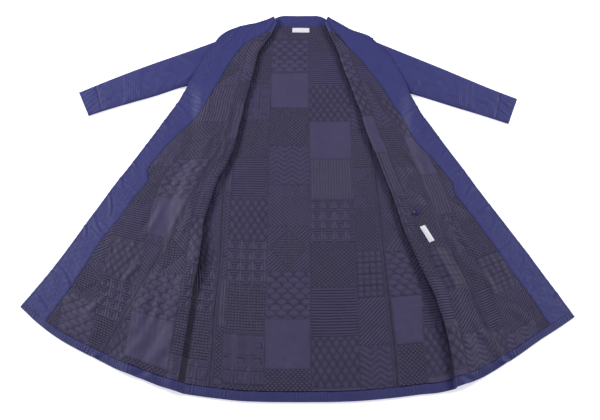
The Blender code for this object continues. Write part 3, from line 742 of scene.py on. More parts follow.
def stitchedPuff(tree, uv):
    # height between the fine lines of stitching: 0 along a line, 1 away from all of them
    turned = addNode(
        tree, "ShaderNodeMapping", {"Vector": uv, "Rotation": (0, 0, math.radians(45))}
    ).outputs["Vector"]
    where = addNode(tree, "ShaderNodeAttribute", attribute_name="stitch")
    split = addNode(tree, "ShaderNodeSeparateColor", {"Color": where.outputs["Color"]})
    families = (
        (split.outputs[0], uv, "X"),
        (split.outputs[1], uv, "Y"),
        (split.outputs[2], turned, "X"),
        (where.outputs["Alpha"], turned, "Y"),
    )
    lowest = 1.0
    for share, vector, way in families:
        rounded = mathOf(tree, "POWER", bands(tree, vector, quilting["fine"], way), 0.5)
        sunk = mathOf(tree, "MULTIPLY", mathOf(tree, "SUBTRACT", 1.0, rounded), share)
        lowest = mathOf(tree, "MINIMUM", mathOf(tree, "SUBTRACT", 1.0, sunk), lowest)
    return lowest


clothLooks = {
    "shell": {
        "colour": "#2f306a",
        "light": "#383976",
        # painted shade colour, mixed in along seams, dips and gather troughs
        "dark": "#17183d",
        "roughness": 0.6,
        "gloss": 0.4,
        "thread": 1.7,  # the real one, 0.25 mm, is too fine to show
        "threadDepth": 0.05,
        "sheen": 0.05,
        "sheenTint": "#8f93d8",
        "wrinkle": 26.0,
        "wrinkleDepth": 2.2,
        "wrinkleTurn": 25.0,
        "wrinkleDrawn": 0.5,
    },
    "lining": {
        "colour": "#3c3656",
        "light": "#474163",
        # painted shade colour, mixed in along the quilting's grooves, seams and the crevices beside rolled
        # edges
        "dark": "#110f20",
        "roughness": 0.64,
        "gloss": 0.35,
        "thread": 1.9,
        "threadDepth": 0.06,
        "sheen": 0.05,
        "sheenTint": "#a9a4cc",
        "wrinkle": 17.0,
        "wrinkleDepth": 2.0,
        "wrinkleTurn": 80.0,
        "wrinkleDrawn": 0.4,
    },
}


clothLooks["facing"] = {
    **clothLooks["shell"],
    "wrinkle": 15.0,
    "wrinkleDepth": 2.4,
    "wrinkleTurn": 38.0,
    "wrinkleDrawn": 0.22,
}


def wrinkles(tree, uv, looks):
    # sharp little wrinkles, as washed taffeta keeps them, drawn out one way
    turn = (0, 0, -math.radians(looks["wrinkleTurn"]))
    turned = addNode(tree, "ShaderNodeMapping", {"Vector": uv, "Rotation": turn}).outputs["Vector"]
    drawn = addNode(
        tree, "ShaderNodeMapping", {"Vector": turned, "Scale": (looks["wrinkleDrawn"], 1, 1)}
    ).outputs["Vector"]
    return addNode(
        tree, "ShaderNodeTexNoise",
        {
            "Vector": drawn, "Scale": 1000 / looks["wrinkle"], "Detail": 2.0, "Roughness": 0.5,
            "Distortion": 0.7,
        },
        noise_type="RIDGED_MULTIFRACTAL",
    ).outputs["Fac"]


def clothMaterial(name, looks, quilted):
    # Woven nylon taffeta, piece-dyed: a fine plain weave with a soft blue gloss along its creases.
    made, tree, shader = newMaterial(name)
    uv = addNode(tree, "ShaderNodeUVMap", uv_map="cloth").outputs[0]
    # painted shade from each piece: how far its colour is mixed towards the painted shade colour in
    # grooves, seams and crevices
    groove = addNode(tree, "ShaderNodeAttribute", attribute_name="groove").outputs["Fac"]
    broad = addNode(
        tree, "ShaderNodeTexNoise", {"Vector": uv, "Scale": 14.0, "Detail": 4.0, "Roughness": 0.6}
    ).outputs["Fac"]
    warp = bands(tree, uv, looks["thread"], "X")
    weft = bands(tree, uv, looks["thread"], "Y")
    normal = bumped(tree, mathOf(tree, "ADD", warp, weft), 0.5, looks["threadDepth"])
    normal = bumped(tree, wrinkles(tree, uv, looks), 0.6, looks["wrinkleDepth"], normal)
    if quilted:
        raised = stitchedPuff(tree, uv)
        normal = bumped(tree, raised, 0.9, 1.5, normal)
        # painted shade along the fine stitched lines, coloured darker where shade falls in their grooves
        groove = mathOf(tree, "MAXIMUM", groove, mathOf(tree, "SUBTRACT", 0.9, raised))
    shade = mixed(tree, broad, linear(looks["colour"]), linear(looks["light"]))
    # the colour darkened towards the painted shade colour wherever painted shade is asked for
    paintedShadeMix = mixed(tree, mathOf(tree, "MULTIPLY", groove, 0.85), shade, linear(looks["dark"]))
    tree.links.new(paintedShadeMix, shader.inputs["Base Color"])
    tree.links.new(normal, shader.inputs["Normal"])
    rough = addNode(
        tree, "ShaderNodeMapRange",
        {"Value": broad, "To Min": looks["roughness"] - 0.05, "To Max": looks["roughness"] + 0.08},
    )
    tree.links.new(rough.outputs[0], shader.inputs["Roughness"])
    shader.inputs["Specular IOR Level"].default_value = looks["gloss"]
    shader.inputs["Sheen Weight"].default_value = looks["sheen"]
    shader.inputs["Sheen Roughness"].default_value = 0.4
    shader.inputs["Sheen Tint"].default_value = linear(looks["sheenTint"])
    return made


shellCloth = clothMaterial("NylonTaffetaOuter", clothLooks["shell"], False)
facingCloth = clothMaterial("NylonTaffetaFacing", clothLooks["facing"], False)
liningCloth = clothMaterial("NylonTaffetaQuilted", clothLooks["lining"], True)
print("cloth materials made")


def layCloth(name, points, shown, thickness, uv, groove, flip, material, stitch=None):
    # a grid laid on the points, cut to the chosen cells and given its thickness below
    rows, columns = points.shape[:2]
    if bpy.context.object and bpy.context.object.mode != "OBJECT":
        bpy.ops.object.mode_set(mode="OBJECT")
    bpy.ops.object.select_all(action="DESELECT")
    bpy.ops.mesh.primitive_grid_add(x_subdivisions=columns - 1, y_subdivisions=rows - 1, size=1)
    piece = bpy.context.object
    piece.name = name
    mesh = piece.data
    mesh.name = name
    mesh.vertices.foreach_set("co", metres(points).ravel())
    corners = np.empty(len(mesh.loops), np.int32)
    mesh.loops.foreach_get("vertex_index", corners)
    layer = mesh.uv_layers.active
    layer.name = "cloth"
    layer.data.foreach_set("uv", (uv.reshape(-1, 2)[corners] * 0.001).ravel())
    # the painted shade attribute: painted shade, 0 to 1, that the cloth material mixes into the colour
    depth = mesh.attributes.new("groove", "FLOAT", "POINT")
    depth.data.foreach_set("value", np.ascontiguousarray(groove, np.float32).ravel())
    if stitch is not None:
        fine = mesh.attributes.new("stitch", "FLOAT_COLOR", "POINT")
        fine.data.foreach_set("color", np.ascontiguousarray(stitch, np.float32).ravel())
    first = corners.reshape(-1, 4).min(axis=1)
    away = ~shown[first // columns, first % columns]
    mesh.vertices.foreach_set("select", np.zeros(len(mesh.vertices), bool))
    mesh.edges.foreach_set("select", np.zeros(len(mesh.edges), bool))
    mesh.polygons.foreach_set("select", away)
    bpy.ops.object.mode_set(mode="EDIT")
    bpy.ops.mesh.select_mode(type="FACE")
    if away.any():
        bpy.ops.mesh.delete(type="FACE")
    if flip:
        bpy.ops.mesh.select_all(action="SELECT")
        bpy.ops.mesh.flip_normals()
    bpy.ops.object.mode_set(mode="OBJECT")
    wall = piece.modifiers.new("thickness", "SOLIDIFY")
    wall.thickness = thickness * 0.001
    wall.offset = -1
    bpy.ops.object.modifier_apply(modifier=wall.name)
    bpy.ops.object.shade_smooth_by_angle(angle=math.radians(50))
    mesh.materials.clear()
    mesh.materials.append(material)
    return piece


def nodeOf(name):
    # sideLiningLeft stands for the solid side_lining_left
    return "".join("_" + letter.lower() if letter.isupper() else letter for letter in name)


def declare(piece):
    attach(piece, "root")
    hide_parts(nodeOf(piece.name))


def layLining(name, points, rise, shown, uv, height, flip, stitch):
    placed = parted(points, shown) + rise
    # painted shade: the quilting's height, turned over, colours its stitched lines, seams and the crevices
    # beside rolled edges darker
    piece = layCloth(
        name, placed, shown, coat["lining"], uv, 1 - height, flip, liningCloth, stitch
    )
    declare(piece)


def layShell(name, points, normals, shown, uv, flip):
    placed = parted(points, shown) - normals * halfSeam
    plain = np.zeros(points.shape[:2])
    piece = layCloth(name, placed, shown, coat["shell"], uv, plain, flip, shellCloth)
    declare(piece)


def everyOther(points):
    return np.ascontiguousarray(points[::2, ::2])


def finer(points, times):
    # more columns between those that are there
    columns = points.shape[1]
    at = np.linspace(0, columns - 1, (columns - 1) * times + 1)
    low = np.minimum(at.astype(int), columns - 2)
    share = (at - low)[None, :, None]
    return points[:, low] * (1 - share) + points[:, low + 1] * share


def flatUv(across, down):
    return np.dstack([across, np.broadcast_to(down, across.shape)])


hemBand = {
    "pitch": 6.2,  # of the gathers, which the tape draws up unevenly
    "height": 0.9,
    "finer": 3,
}


def layHemBand(name, points, normals, flip):
    points = finer(points, hemBand["finer"])
    normals = finer(normals, hemBand["finer"])
    shown = np.ones((points.shape[0] - 1, points.shape[1] - 1), bool)
    across = girth(points)
    down = np.linspace(0, 1, len(points))[:, None] * (coat["band"] - coat["hem"])
    wander = across + 2.2 * np.sin(across / 13.0) + 1.3 * np.sin(across / 5.3 + 2)
    gather = np.sin(2 * math.pi * wander / hemBand["pitch"]) * (0.6 + 0.4 * np.sin(across / 29.0))
    held = np.sin(math.pi * down / (coat["band"] - coat["hem"])) ** 0.6
    top = halfSeam + coat["facing"] + hemBand["height"] * held * (0.5 + 0.5 * gather)
    placed = parted(points, shown) + normals * top[:, :, None]
    # painted shade: the troughs between the gathers are coloured darker
    piece = layCloth(
        name, placed, shown, coat["facing"], flatUv(across, down), held * (0.5 - 0.5 * gather) * 0.6,
        flip, shellCloth,
    )
    declare(piece)


def shadeBeside(distance):
    # painted shade: the quilted cloth's colour darkens into the crevice under a rolled edge, distance
    # millimetres inside it
    return 1 - 0.95 * np.exp(-((np.maximum(distance, 0) / 5.0) ** 2))


def shadeUnderRoll(columns):
    # the same painted shade on the roll itself, from its foot up to its crown
    shade = np.ones(columns)
    foot, crown = cells["strip"], cells["strip"] + cells["inner"]
    shade[:crown] = smooth((np.arange(crown) - foot - 3) / (cells["inner"] * 0.5))
    return shade


facingSeams = {
    "puff": 0.5,
    "uneven": 0.28,
    "seamDip": 0.9,
    "stitchDip": 0.35,
    "stitchIn": 7,  # from the front edge
}


def sided(name, side):
    return name + side.capitalize()


def layHalf(side, bases):
    flip = side == "right"
    lower = foldedRows(side, bases)
    front = np.concatenate([shoulderRows(side, lower), lower[:, underCells:]])
    lowerNormals = normalsOf(lower, not flip)
    top = cells["upperRows"]
    frontNormals = np.concatenate([normalsOf(front, not flip)[:top], lowerNormals[:, underCells:]])
    sideEnd = underCells + toSeam
    bandRow = cells["lowerRows"]
    hemRow = bandRow + cells["bandRows"]
    frontBand, frontHem = top + bandRow, top + hemRow

    # across the cloth from the rolled edge, and down it along that edge
    rollColumn = underCells + toRoll
    lowerAcross = girth(lower)
    lowerU = lowerAcross - lowerAcross[:, rollColumn : rollColumn + 1]
    frontAcross = girth(front)
    frontU = frontAcross - frontAcross[:, toRoll : toRoll + 1]
    fold = front[: top + 1, toRoll]
    climb = np.cumsum(np.linalg.norm(np.diff(fold, axis=0), axis=1)[::-1])[::-1]
    frontV = np.concatenate([coat["underarm"] + climb, bases])[:, None]
    lowerV = np.array(bases)[:, None]

    shown = chosenCells(lower.shape, (0, bandRow, 0, sideEnd))
    toBackSeam = lowerAcross
    toFrontSeam = np.abs(lowerAcross - lowerAcross[:, sideEnd : sideEnd + 1])
    height, stitch = quilt(lowerU + 0 * lowerV, lowerV + 0 * lowerU, 0.0 if side == "left" else 47.0)
    height = seamed(height, np.minimum(toBackSeam, toFrontSeam))
    stitch *= clearOfSeam(np.minimum(toBackSeam, toFrontSeam))
    raised = reliefOf(height, lowerU, lowerV, 11)
    # painted shade from here on: the colour's height darkens beside and under the rolled edge; the relief
    # above is already set
    foldAt = np.abs(lower[:, rollColumn - cells["inner"] // 2, :1])
    height[:, :underCells] *= shadeBeside(foldAt - np.abs(lower[:, :underCells, 0]))
    height[:, underCells:] *= shadeUnderRoll(height.shape[1] - underCells)
    hidden = slice(cells["level"], rollColumn - cells["inner"] // 2)
    raised[:, hidden] *= 0
    upTo = halfSeam + coat["lining"] + raised
    layLining(
        sided("sideLining", side), lower, lowerNormals * upTo[:, :, None], shown,
        flatUv(lowerU, lowerV), height, flip, stitch,
    )

    few = everyOther(lower)
    shown = chosenCells(few.shape, (0, hemRow // 2, 0, sideEnd // 2))
    layShell(
        sided("sideShell", side), few, everyOther(lowerNormals), shown,
        flatUv(everyOther(lowerU), lowerV[::2]), flip,
    )

    allFacing = top // 6  # the rows next to the neck have no lining
    shown = chosenCells(
        front.shape, (allFacing, top, 0, toFacing), (top, frontBand, toSeam, toFacing)
    )
    toFrontSeam = np.abs(frontAcross - frontAcross[:, toSeam : toSeam + 1])
    toFrontSeam[:top] = 99
    toEdgeOfFacing = np.abs(frontAcross[:, toFacing : toFacing + 1] - frontAcross)
    height, stitch = quilt(frontU + 0 * frontV, frontV + 0 * frontU, 23.0 if side == "left" else 71.0)
    height = seamed(height, toFrontSeam)
    stitch *= clearOfSeam(toFrontSeam)
    # lower towards the facing's edge, in the relief and as painted shade where lining meets facing
    height = np.minimum(height, 1 - np.exp(-((toEdgeOfFacing / 2.5) ** 2)))
    raised = reliefOf(height, frontU, frontV, 12)
    # painted shade under the rolled edge, in the colour only
    height *= shadeUnderRoll(height.shape[1])
    raised[:, : cells["strip"] + cells["inner"] // 2] *= 0
    upTo = halfSeam + coat["lining"] + raised
    layLining(
        sided("frontLining", side), front, frontNormals * upTo[:, :, None], shown,
        flatUv(frontU, frontV), height, flip, stitch,
    )

    shown = chosenCells(
        front.shape, (0, allFacing, cells["strip"], toEdge), (allFacing, frontBand, toFacing, toEdge)
    )
    fromEdge = np.abs(frontAcross[:, -1:] - frontAcross)
    dip = facingSeams["seamDip"] * np.exp(-((toEdgeOfFacing / 3.0) ** 2))
    dip = dip + facingSeams["stitchDip"] * np.exp(-(((fromEdge - facingSeams["stitchIn"]) / 1.8) ** 2))
    uneven = facingSeams["uneven"] * ripple(frontU, frontV, 10, 26, 15)
    upTo = halfSeam + coat["facing"] + facingSeams["puff"] + uneven - dip * 0.8
    # painted shade: the seam and stitch dips are coloured darker
    piece = layCloth(
        sided("frontFacing", side), parted(front, shown) + frontNormals * upTo[:, :, None], shown,
        coat["facing"], flatUv(frontU, frontV), np.clip(dip, 0, 1) * 0.7, flip, facingCloth,
    )
    declare(piece)

    few = everyOther(front)
    shown = chosenCells(
        few.shape, (0, top // 2, 0, toEdge // 2), (top // 2, frontHem // 2, toSeam // 2, toEdge // 2)
    )
    layShell(
        sided("frontShell", side), few, everyOther(frontNormals), shown,
        flatUv(everyOther(frontU), frontV[::2]), flip,
    )

    ofSide = (slice(bandRow, None), slice(0, sideEnd + 1))
    ofFront = (slice(frontBand, None), slice(toSeam, None))
    for name, rows, normals, shell in (
        ("hemBandSide", lower[ofSide], lowerNormals[ofSide], "side_shell"),
        ("hemBandFront", front[ofFront], frontNormals[ofFront], "front_shell"),
    ):
        layHemBand(sided(name, side), rows, normals, flip)
    print(side, "half laid")
    return lower[:, 0]


halfBases = np.concatenate(
    [
        np.linspace(coat["underarm"], coat["band"], cells["lowerRows"] + 1),
        np.linspace(coat["band"], coat["hem"], cells["bandRows"] + 1)[1:],
    ]
)
seams = {side: layHalf(side, halfBases) for side in ("left", "right")}

back = {
    "rise": 1.5,  # of the soft unevenness in the middle
    # the rolled edge above the underarm, as rows and distances from the centre back
    "foldRows": {
        "left": (644, 602, 565, 528, 490, 452, 418),
        "right": (644, 610, 572, 532, 494, 457, 418),
    },
    "foldAt": {
        "left": (72, 88, 108, 126, 133, 139, 146),
        "right": (77, 88, 102, 115, 124, 133, 145),
    },
}


def foldInBack(side, bases):
    above = np.interp(-bases, -np.array(back["foldRows"][side]), back["foldAt"][side])
    return np.where(bases <= coat["underarm"], lineAt(side, "fold", bases), above)[:, None]


def backEnd(side, bases):
    table = np.array(armhole, float)
    above = onRow(side, bases, lambda y: np.interp(y, table[:, 0], table[:, 1]))
    seam = seams[side]
    down = -halfBases
    x = np.interp(-bases, down, np.abs(seam[:, 0]))
    y = np.interp(-bases, down, seam[:, 1])
    over = bases > coat["underarm"]
    return np.where(over, above[0], x), np.where(over, above[1], y)


def neckTop(x):
    table = np.array(coat["neckArch"], float)
    return np.interp(np.abs(x), table[:, 0], table[:, 1], right=-1e9)


def layBack():
    above = np.linspace(coat["neckInner"], coat["underarm"], cells["backRowsAbove"] + 1)[:-1]
    bases = np.concatenate([above, halfBases])
    leftX, leftY = backEnd("left", bases)
    rightX, rightY = backEnd("right", bases)
    share = np.linspace(0, 1, cells["backColumns"] + 1)
    x = lerp(-leftX[:, None], rightX[:, None], share)
    y = np.where(x < 0, rowY("left", bases[:, None], -x), rowY("right", bases[:, None], x))
    blend = smooth(1 - np.minimum(share, 1 - share) * cells["backColumns"] / 4)
    toEnd = np.where(share < 0.5, leftY[:, None] - y[:, :1], rightY[:, None] - y[:, -1:])
    y += toEnd * blend
    shownEnd = np.minimum(foldInBack("left", bases) + x, foldInBack("right", bases) - x)
    free = smooth((shownEnd + 4) / 30) * smooth((bases[:, None] - coat["band"]) / 20)
    free = free * smooth((coat["neckInner"] - bases[:, None]) / 20)
    soft = back["rise"] * (0.5 + 0.5 * ripple(x, y, 110, 240, 21)) + creaseHeight(x, y, creases["back"])
    z = coat["seat"] + np.maximum(soft, 0) * free
    points = np.dstack([x, y, z])
    normals = normalsOf(points, False)
    bandRow = cells["backRowsAbove"] + cells["lowerRows"]
    shown = chosenCells(points.shape, (0, bandRow, 0, cells["backColumns"]))
    height, stitch = quilt(x + 0, np.broadcast_to(bases[:, None], x.shape) + 0, 11.0)
    toSeams = np.minimum(x - x[:, :1], x[:, -1:] - x)
    height = seamed(height, toSeams)
    stitch *= clearOfSeam(toSeams)
    raised = reliefOf(height, x, y, 13)
    # painted shade beside the rolled edges, in the colour only
    height *= shadeBeside(shownEnd)
    upTo = halfSeam + coat["lining"] + raised
    layLining(
        "backLining", points, normals * upTo[:, :, None], shown,
        flatUv(x, bases[:, None]), height, True, stitch,
    )
    plain = points.copy()
    plain[:, :, 2] = coat["seat"]
    up = np.zeros(points.shape)
    up[:, :, 2] = 1
    layHemBand("hemBandBack", plain[bandRow:], up[bandRow:], True)
    neck = plain[:1, ::2].copy()
    neck[:, :, 1] = np.maximum(neckTop(neck[:, :, 0]), neck[:, :, 1] + coat["neckAllowance"])
    few = np.concatenate([neck, everyOther(plain)])
    shown = np.ones((few.shape[0] - 1, few.shape[1] - 1), bool)
    level = np.zeros(few.shape)
    level[:, :, 2] = 1
    layShell("backShell", few, level, shown, few[:, :, :2] + 0, True)


layBack()
print("back laid")

neckFacing = {
    "columns": 84,
    "rows": 18,
    "puff": 1.5,
}


def layNeckFacing():
    reach = coat["neckArch"][-1][0]
    x = np.linspace(-reach, reach, neckFacing["columns"] + 1)[None, :]
    down = np.linspace(0, 1, neckFacing["rows"] + 1)[:, None]
    smoothTop = np.mean([neckTop(np.clip(x + d, -reach, reach)) for d in (-6, -3, 0, 3, 6)], axis=0)
    y = lerp(smoothTop, coat["neckInner"] + coat["seam"], down)
    x = x + 0 * y
    full = np.sin(math.pi * down)
    puffed = neckFacing["puff"] * full**0.7 * (1 + 0.3 * ripple(x, y, 20, 50, 31))
    puffed = puffed + 0.5 * ripple(x, y * 0.4, 12, 26, 33) * full
    points = np.dstack([x, y, np.full(x.shape, coat["seat"])])
    shown = np.ones((x.shape[0] - 1, x.shape[1] - 1), bool)
    top = points.copy()
    top[:, :, 2] += halfSeam + coat["facing"] + puffed
    piece = layCloth(
        "backNeckFacing", top, shown, coat["facing"], top[:, :, :2] + 0, np.zeros(x.shape), True, shellCloth
    )
    declare(piece)


layNeckFacing()


def alongLine(table, share):
    # points at shares of the way along a line of points
    table = np.array(table, float)
    lengths = np.concatenate([[0], np.cumsum(np.linalg.norm(np.diff(table, axis=0), axis=1))])
    at = np.asarray(share) * lengths[-1]
    if len(table) < 6:
        return np.stack([throughPoints(lengths, table[:, k], at) for k in (0, 1)], axis=-1)
    return np.stack([np.interp(at, lengths, table[:, k]) for k in (0, 1)], axis=-1)


def laySleeve(side):
    sign = -1 if side == "left" else 1
    shares = np.linspace(0, 1, sleeve["rows"] + 1)
    cuffRow = int(round(sleeve["cuff"] * sleeve["rows"]))
    shares[: cuffRow + 1] = np.linspace(0, sleeve["cuff"], cuffRow + 1)
    shares[cuffRow:] = np.linspace(sleeve["cuff"], 1, sleeve["rows"] - cuffRow + 1)
    across = 0.5 - 0.5 * np.cos(np.linspace(0, math.pi, sleeve["across"] + 1))
    topEdge = alongLine(sleeveTop[side], shares)
    bottomEdge = alongLine(sleeveBottom[side], shares)
    plan = lerp(topEdge[:, None], bottomEdge[:, None], across[None, :, None])
    arm = alongLine(armCurve[side], across)
    joined = smooth(shares / sleeve["joined"])[:, None, None]
    plan = arm[None] * (1 - joined) + plan * joined
    x, y = plan[:, :, 0], plan[:, :, 1]

    a = np.abs(2 * across - 1)[None, :]
    crown = np.sqrt(np.maximum(1 - a**4, 0))
    room = sleeve["room"] * (1 - smooth(shares / sleeve["flatFrom"]))[:, None]
    tall = 2 * sleeve["wall"] + coat["seam"] + room - sleeve["edgeHeight"]
    inside = smooth((1 - a) / 0.16)
    first, last = sleeve["ridgesFrom"], sleeve["ridgesTo"]
    pressed = (shares[:, None] - first) / (last - first)
    skew = sleeve["ridgeSkew"] * (across[None, :] - 0.5)
    ridge = np.cos(2 * math.pi * sleeve["ridges"] * (pressed + skew)) ** 2
    ridge = ridge * smooth(pressed * 6) * smooth((1 - pressed) * 6)
    sagged = sleeve["puff"] * ripple(x, y, 60, 130, 41) + sleeve["unrest"] * ripple(x, y, 18, 40, 42)
    folds = np.zeros(x.shape)
    for along, beside, turn, long, half, high, bow in sleeveCreases[side]:
        r = int(round(along * sleeve["rows"]))
        c = int(np.searchsorted(across, beside))
        table = ((x[r, c], y[r, c], math.degrees(turn) + 90, long, half, high * 0.8, bow),)
        folds += creaseHeight(x, y, table)
    fromCuff = (shares - sleeve["cuff"]) * sleeve["length"]
    seamDip = sleeve["cuffSeam"] * np.exp(-((fromCuff / 2.6) ** 2))[:, None]
    band = np.where(shares > sleeve["cuff"], 1.0, 0.0)[:, None]
    diagonal = sleeve["cuffRidge"] * np.sin((x + y * 0.9) / 2.9) * band
    lift = (sleeve["ridgeHeight"] * ridge + sagged + folds + diagonal - seamDip) * inside
    topZ = sleeve["edgeHeight"] + np.maximum(tall * crown + lift, 0.02)
    middle = plan[:, len(across) // 2]
    length = float(np.linalg.norm(np.diff(middle, axis=0), axis=1).sum())
    u = (across[None, :] - 0.5) * np.linalg.norm(topEdge - bottomEdge, axis=1)[:, None]
    v = shares[:, None] * length + 0 * u
    uv = np.dstack([u, v])
    upper = np.dstack([sign * x, y, topZ])
    under = np.dstack([sign * x, y, np.full(x.shape, sleeve["cloth"])])
    for what, start, end in (("sleeve", 0, cuffRow), ("cuff", cuffRow, sleeve["rows"])):
        rows = slice(start, end + 1)
        shown = np.ones((end - start, sleeve["across"]), bool)
        # painted shade: the cuff seam's dip is coloured darker
        groove = np.clip(np.broadcast_to(seamDip, x.shape)[rows], 0, 1) * 0.6
        for half, points, flip, other in (
            ("Upper", upper, side == "right", "under"),
            ("Under", under, side == "left", "upper"),
        ):
            piece = layCloth(
                sided(what + half, side), parted(points[rows], shown), shown, sleeve["cloth"],
                uv[rows], groove, flip, shellCloth,
            )
            declare(piece)



for side in ("left", "right"):
    laySleeve(side)
print("sleeves laid")


def surfaceOf(name):
    return BVHTree.FromObject(bpy.data.objects[name], bpy.context.evaluated_depsgraph_get())


def heightOn(tree, x, y):
    start = Vector(((x + coat["shift"][0]) * 0.001, (y + coat["shift"][1]) * 0.001, 0.1))
    hit = tree.ray_cast(start, Vector((0, 0, -1)))
    return hit[0].z * 1000, hit[1]


labels = {
    "neckLabel": {
        "carrier": "backLining",
        "place": (2.5, 621.0, 51.0, 18.0, 0.0),  # x, y, length, width, turn in degrees
    },
    "careLabel": {
        "carrier": "sideLiningRight",
        "place": (326.0, -82.0, 50.0, 15.0, -65.0),
    },
}
satin = {
    "colour": "#f2f3f6",
    "shade": "#dfe1e8",
    "floats": 1.2,
    "thickness": 0.6,
    "lift": 0.25,
    "rows": 15,
    "columns": 37,
    "bridged": 3,  # it spans hollows of the cloth narrower than twice this
    "dome": 0.5,
    "domeWide": 6,
    "stitchIn": 1.8,
    "stitchWide": 0.8,
    "stitchDeep": 0.25,
}


def satinMaterial():
    # Woven polyester satin, bleached: long floats give it a soft gloss along its length.
    made, tree, shader = newMaterial("PolyesterSatinWhite")
    uv = addNode(tree, "ShaderNodeUVMap", uv_map="cloth").outputs[0]
    floats = bands(tree, uv, satin["floats"], "Y")
    colour = mixed(tree, floats, linear(satin["shade"]), linear(satin["colour"]))
    tree.links.new(colour, shader.inputs["Base Color"])
    tree.links.new(bumped(tree, floats, 0.3, 0.2), shader.inputs["Normal"])
    shader.inputs["Roughness"].default_value = 0.38
    shader.inputs["Sheen Weight"].default_value = 0.2
    return made


whiteSatin = satinMaterial()


def layLabel(name):
    label = labels[name]
    x, y, length, width, turn = label["place"]
    tree = surfaceOf(label["carrier"])
    angle = math.radians(turn)
    along = np.array([math.cos(angle), math.sin(angle)])
    beside = np.array([-math.sin(angle), math.cos(angle)])
    rows, columns = satin["rows"], satin["columns"]
    around = (-satin["bridged"], 0, satin["bridged"])
    points = np.zeros((rows, columns, 3))
    for r, v in enumerate(np.linspace(0.5, -0.5, rows)):
        for c, u in enumerate(np.linspace(-0.5, 0.5, columns)):
            px, py = np.array([x, y]) + along * u * length + beside * v * width
            heights = [heightOn(tree, px + dx, py + dy)[0] for dx in around for dy in around]
            points[r, c] = (px, py, max(heights) * 0.6 + 0.4 * np.mean(heights))
    fromEnds = np.minimum(np.arange(columns), np.arange(columns)[::-1])[None, :] * length / (columns - 1)
    fromSides = np.minimum(np.arange(rows), np.arange(rows)[::-1])[:, None] * width / (rows - 1)
    inwards = np.minimum(fromEnds, fromSides)
    stitched = np.exp(-(((inwards - satin["stitchIn"]) / satin["stitchWide"]) ** 2))
    domed = satin["dome"] * smooth(inwards / satin["domeWide"])
    points[:, :, 2] += satin["lift"] + satin["thickness"] + domed - satin["stitchDeep"] * stitched
    uv = np.dstack(np.meshgrid(np.linspace(0, length, columns), np.linspace(0, width, rows)))
    shown = np.ones((rows - 1, columns - 1), bool)
    piece = layCloth(
        name, points, shown, satin["thickness"], uv, np.zeros((rows, columns)), True, whiteSatin
    )
    declare(piece)


for name in labels:
    layLabel(name)
print("labels sewn on")

button = {
    "at": (303.0, -19.0),
    "radius": 7.5,
    "thick": 2.6,
    "rim": 1.5,
    "dish": 0.5,
    "rimSlope": 0.6,
    "bevel": 0.4,
    "holes": 4,
    "holeRadius": 0.85,
    "holeOut": 1.7,
    "holeSides": 16,
    "sharp": 35,  # degrees between faces, over which an edge stays crisp
    "colour": "#1d2350",
    "light": "#2b3370",
    "sides": 48,
}


def resinMaterial():
    # Cast polyester resin, polished: a deep clouded blue under a clear gloss.
    made, tree, shader = newMaterial("PolyesterResinBlue")
    place = addNode(tree, "ShaderNodeTexCoord").outputs["Object"]
    cloud = addNode(
        tree, "ShaderNodeTexNoise", {"Vector": place, "Scale": 260.0, "Detail": 2.0, "Distortion": 1.2}
    )
    colour = mixed(tree, cloud.outputs["Fac"], linear(button["colour"]), linear(button["light"]))
    tree.links.new(colour, shader.inputs["Base Color"])
    shader.inputs["Roughness"].default_value = 0.22
    shader.inputs["IOR"].default_value = 1.55
    shader.inputs["Coat Weight"].default_value = 0.4
    return made


def selectFacesUp(piece, lowest):
    bpy.ops.object.mode_set(mode="OBJECT")
    for polygon in piece.data.polygons:
        polygon.select = polygon.normal.z > 0.9 and polygon.center.z > lowest
    bpy.ops.object.mode_set(mode="EDIT")


def layButton():
    radius, thick = button["radius"] * 0.001, button["thick"] * 0.001
    bpy.ops.object.select_all(action="DESELECT")
    bpy.ops.mesh.primitive_cylinder_add(vertices=button["sides"], radius=radius, depth=thick)
    piece = bpy.context.object
    piece.name = "spareButton"
    bpy.ops.object.mode_set(mode="EDIT")
    bpy.ops.mesh.select_mode(type="FACE")
    selectFacesUp(piece, 0)
    bpy.ops.mesh.inset(thickness=button["rim"] * 0.001, depth=0)
    bpy.ops.mesh.inset(thickness=button["rimSlope"] * 0.001, depth=-button["dish"] * 0.001)
    bpy.ops.object.mode_set(mode="OBJECT")
    bevel = piece.modifiers.new("bevel", "BEVEL")
    bevel.width = button["bevel"] * 0.001
    bevel.segments = 3
    bevel.angle_limit = math.radians(button["sharp"])
    bpy.ops.object.modifier_apply(modifier=bevel.name)
    for n in range(button["holes"]):
        angle = math.radians(45 + 360 / button["holes"] * n)
        out = button["holeOut"] * 0.001
        bpy.ops.object.select_all(action="DESELECT")
        bpy.ops.mesh.primitive_cylinder_add(
            vertices=button["holeSides"], radius=button["holeRadius"] * 0.001, depth=thick * 3,
            location=(math.cos(angle) * out, math.sin(angle) * out, 0),
        )
        drill = bpy.context.object
        bpy.context.view_layer.objects.active = piece
        hole = piece.modifiers.new("hole", "BOOLEAN")
        hole.object = drill
        hole.solver = "EXACT"
        bpy.ops.object.modifier_apply(modifier=hole.name)
        bpy.data.objects.remove(drill)
    x, y = button["at"]
    z, normal = heightOn(surfaceOf("sideLiningRight"), x, y)
    upright = normal.lerp(Vector((0, 0, 1)), 0.6).normalized()
    turned = upright.to_track_quat("Z", "Y").to_matrix().to_4x4()
    lift = coat["seam"] + 0.5 + button["thick"] / 2
    place = Vector(
        ((x + coat["shift"][0]) * 0.001, (y + coat["shift"][1]) * 0.001, (z + lift) * 0.001)
    )
    piece.data.transform(Matrix.Translation(place) @ turned)
    bpy.ops.object.select_all(action="DESELECT")
    piece.select_set(True)
    bpy.context.view_layer.objects.active = piece
    bpy.ops.object.shade_smooth_by_angle(angle=math.radians(button["sharp"]))
    piece.data.materials.clear()
    piece.data.materials.append(resinMaterial())
    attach(piece, "root")
    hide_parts("spare_button")


layButton()
print("button sewn on")

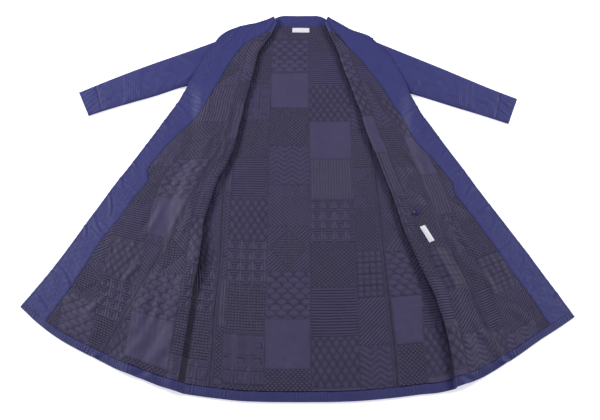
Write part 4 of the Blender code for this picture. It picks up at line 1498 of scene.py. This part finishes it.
studio = {
    "floor": 6.0,
    "floorHeight": -0.0015,
    "floorColour": "#fbfbff",
    "floorGlow": 0.55,  # lifts the paper to white without lighting the cloth much
    "world": "#f2f4ff",
    "worldStrength": 0.26,
    "key": ((-2.2, 0.9, 1.4), 0.8, 58.0),
    "fill": ((2.2, 0.9, 1.4), 0.8, 44.0),
    "front": ((0.0, -2.2, 2.0), 2.0, 4.0),
}


def addStudio():
    bpy.ops.object.select_all(action="DESELECT")
    bpy.ops.mesh.primitive_plane_add(size=studio["floor"], location=(0, 0, studio["floorHeight"]))
    floor = bpy.context.object
    floor.name = "studioFloor"
    made, tree, shader = newMaterial("PaperSeamlessWhite")
    # Matt paper sweep: almost white, with next to no gloss.
    shader.inputs["Base Color"].default_value = linear(studio["floorColour"])
    shader.inputs["Roughness"].default_value = 0.9
    shader.inputs["Specular IOR Level"].default_value = 0.1
    shader.inputs["Emission Color"].default_value = (1, 1, 1, 1)
    shader.inputs["Emission Strength"].default_value = studio["floorGlow"]
    floor.data.materials.append(made)
    bpy.context.scene.view_settings.view_transform = "Standard"
    world = bpy.data.worlds.new("studioWorld")
    world.use_nodes = True
    sky = world.node_tree.nodes["Background"]
    sky.inputs["Color"].default_value = linear(studio["world"])
    sky.inputs["Strength"].default_value = studio["worldStrength"]
    bpy.context.scene.world = world
    for name in ("key", "fill", "front"):
        place, size, power = studio[name]
        light = bpy.data.lights.new(name, "AREA")
        light.size = size
        light.energy = power
        lamp = bpy.data.objects.new(name, light)
        lamp.location = place
        lamp.rotation_euler = (Vector((0, 0, 0)) - Vector(place)).to_track_quat("-Z", "Y").to_euler()
        bpy.context.scene.collection.objects.link(lamp)


view = {
    "focalLength": 48.725,
    "sensor": 36.0,
    "place": (0.00836, -1.15398, 1.8533),
    "tilt": 30.0,  # degrees from straight down
    "farthest": 20,
}


def addCamera():
    lens = bpy.data.cameras.new("camera")
    lens.lens = view["focalLength"]
    lens.sensor_width = view["sensor"]
    lens.clip_end = view["farthest"]
    camera = bpy.data.objects.new("camera", lens)
    camera.location = view["place"]
    camera.rotation_euler = (math.radians(view["tilt"]), 0, 0)
    bpy.context.scene.collection.objects.link(camera)
    bpy.context.scene.camera = camera


addStudio()
addCamera()
print("studio set")
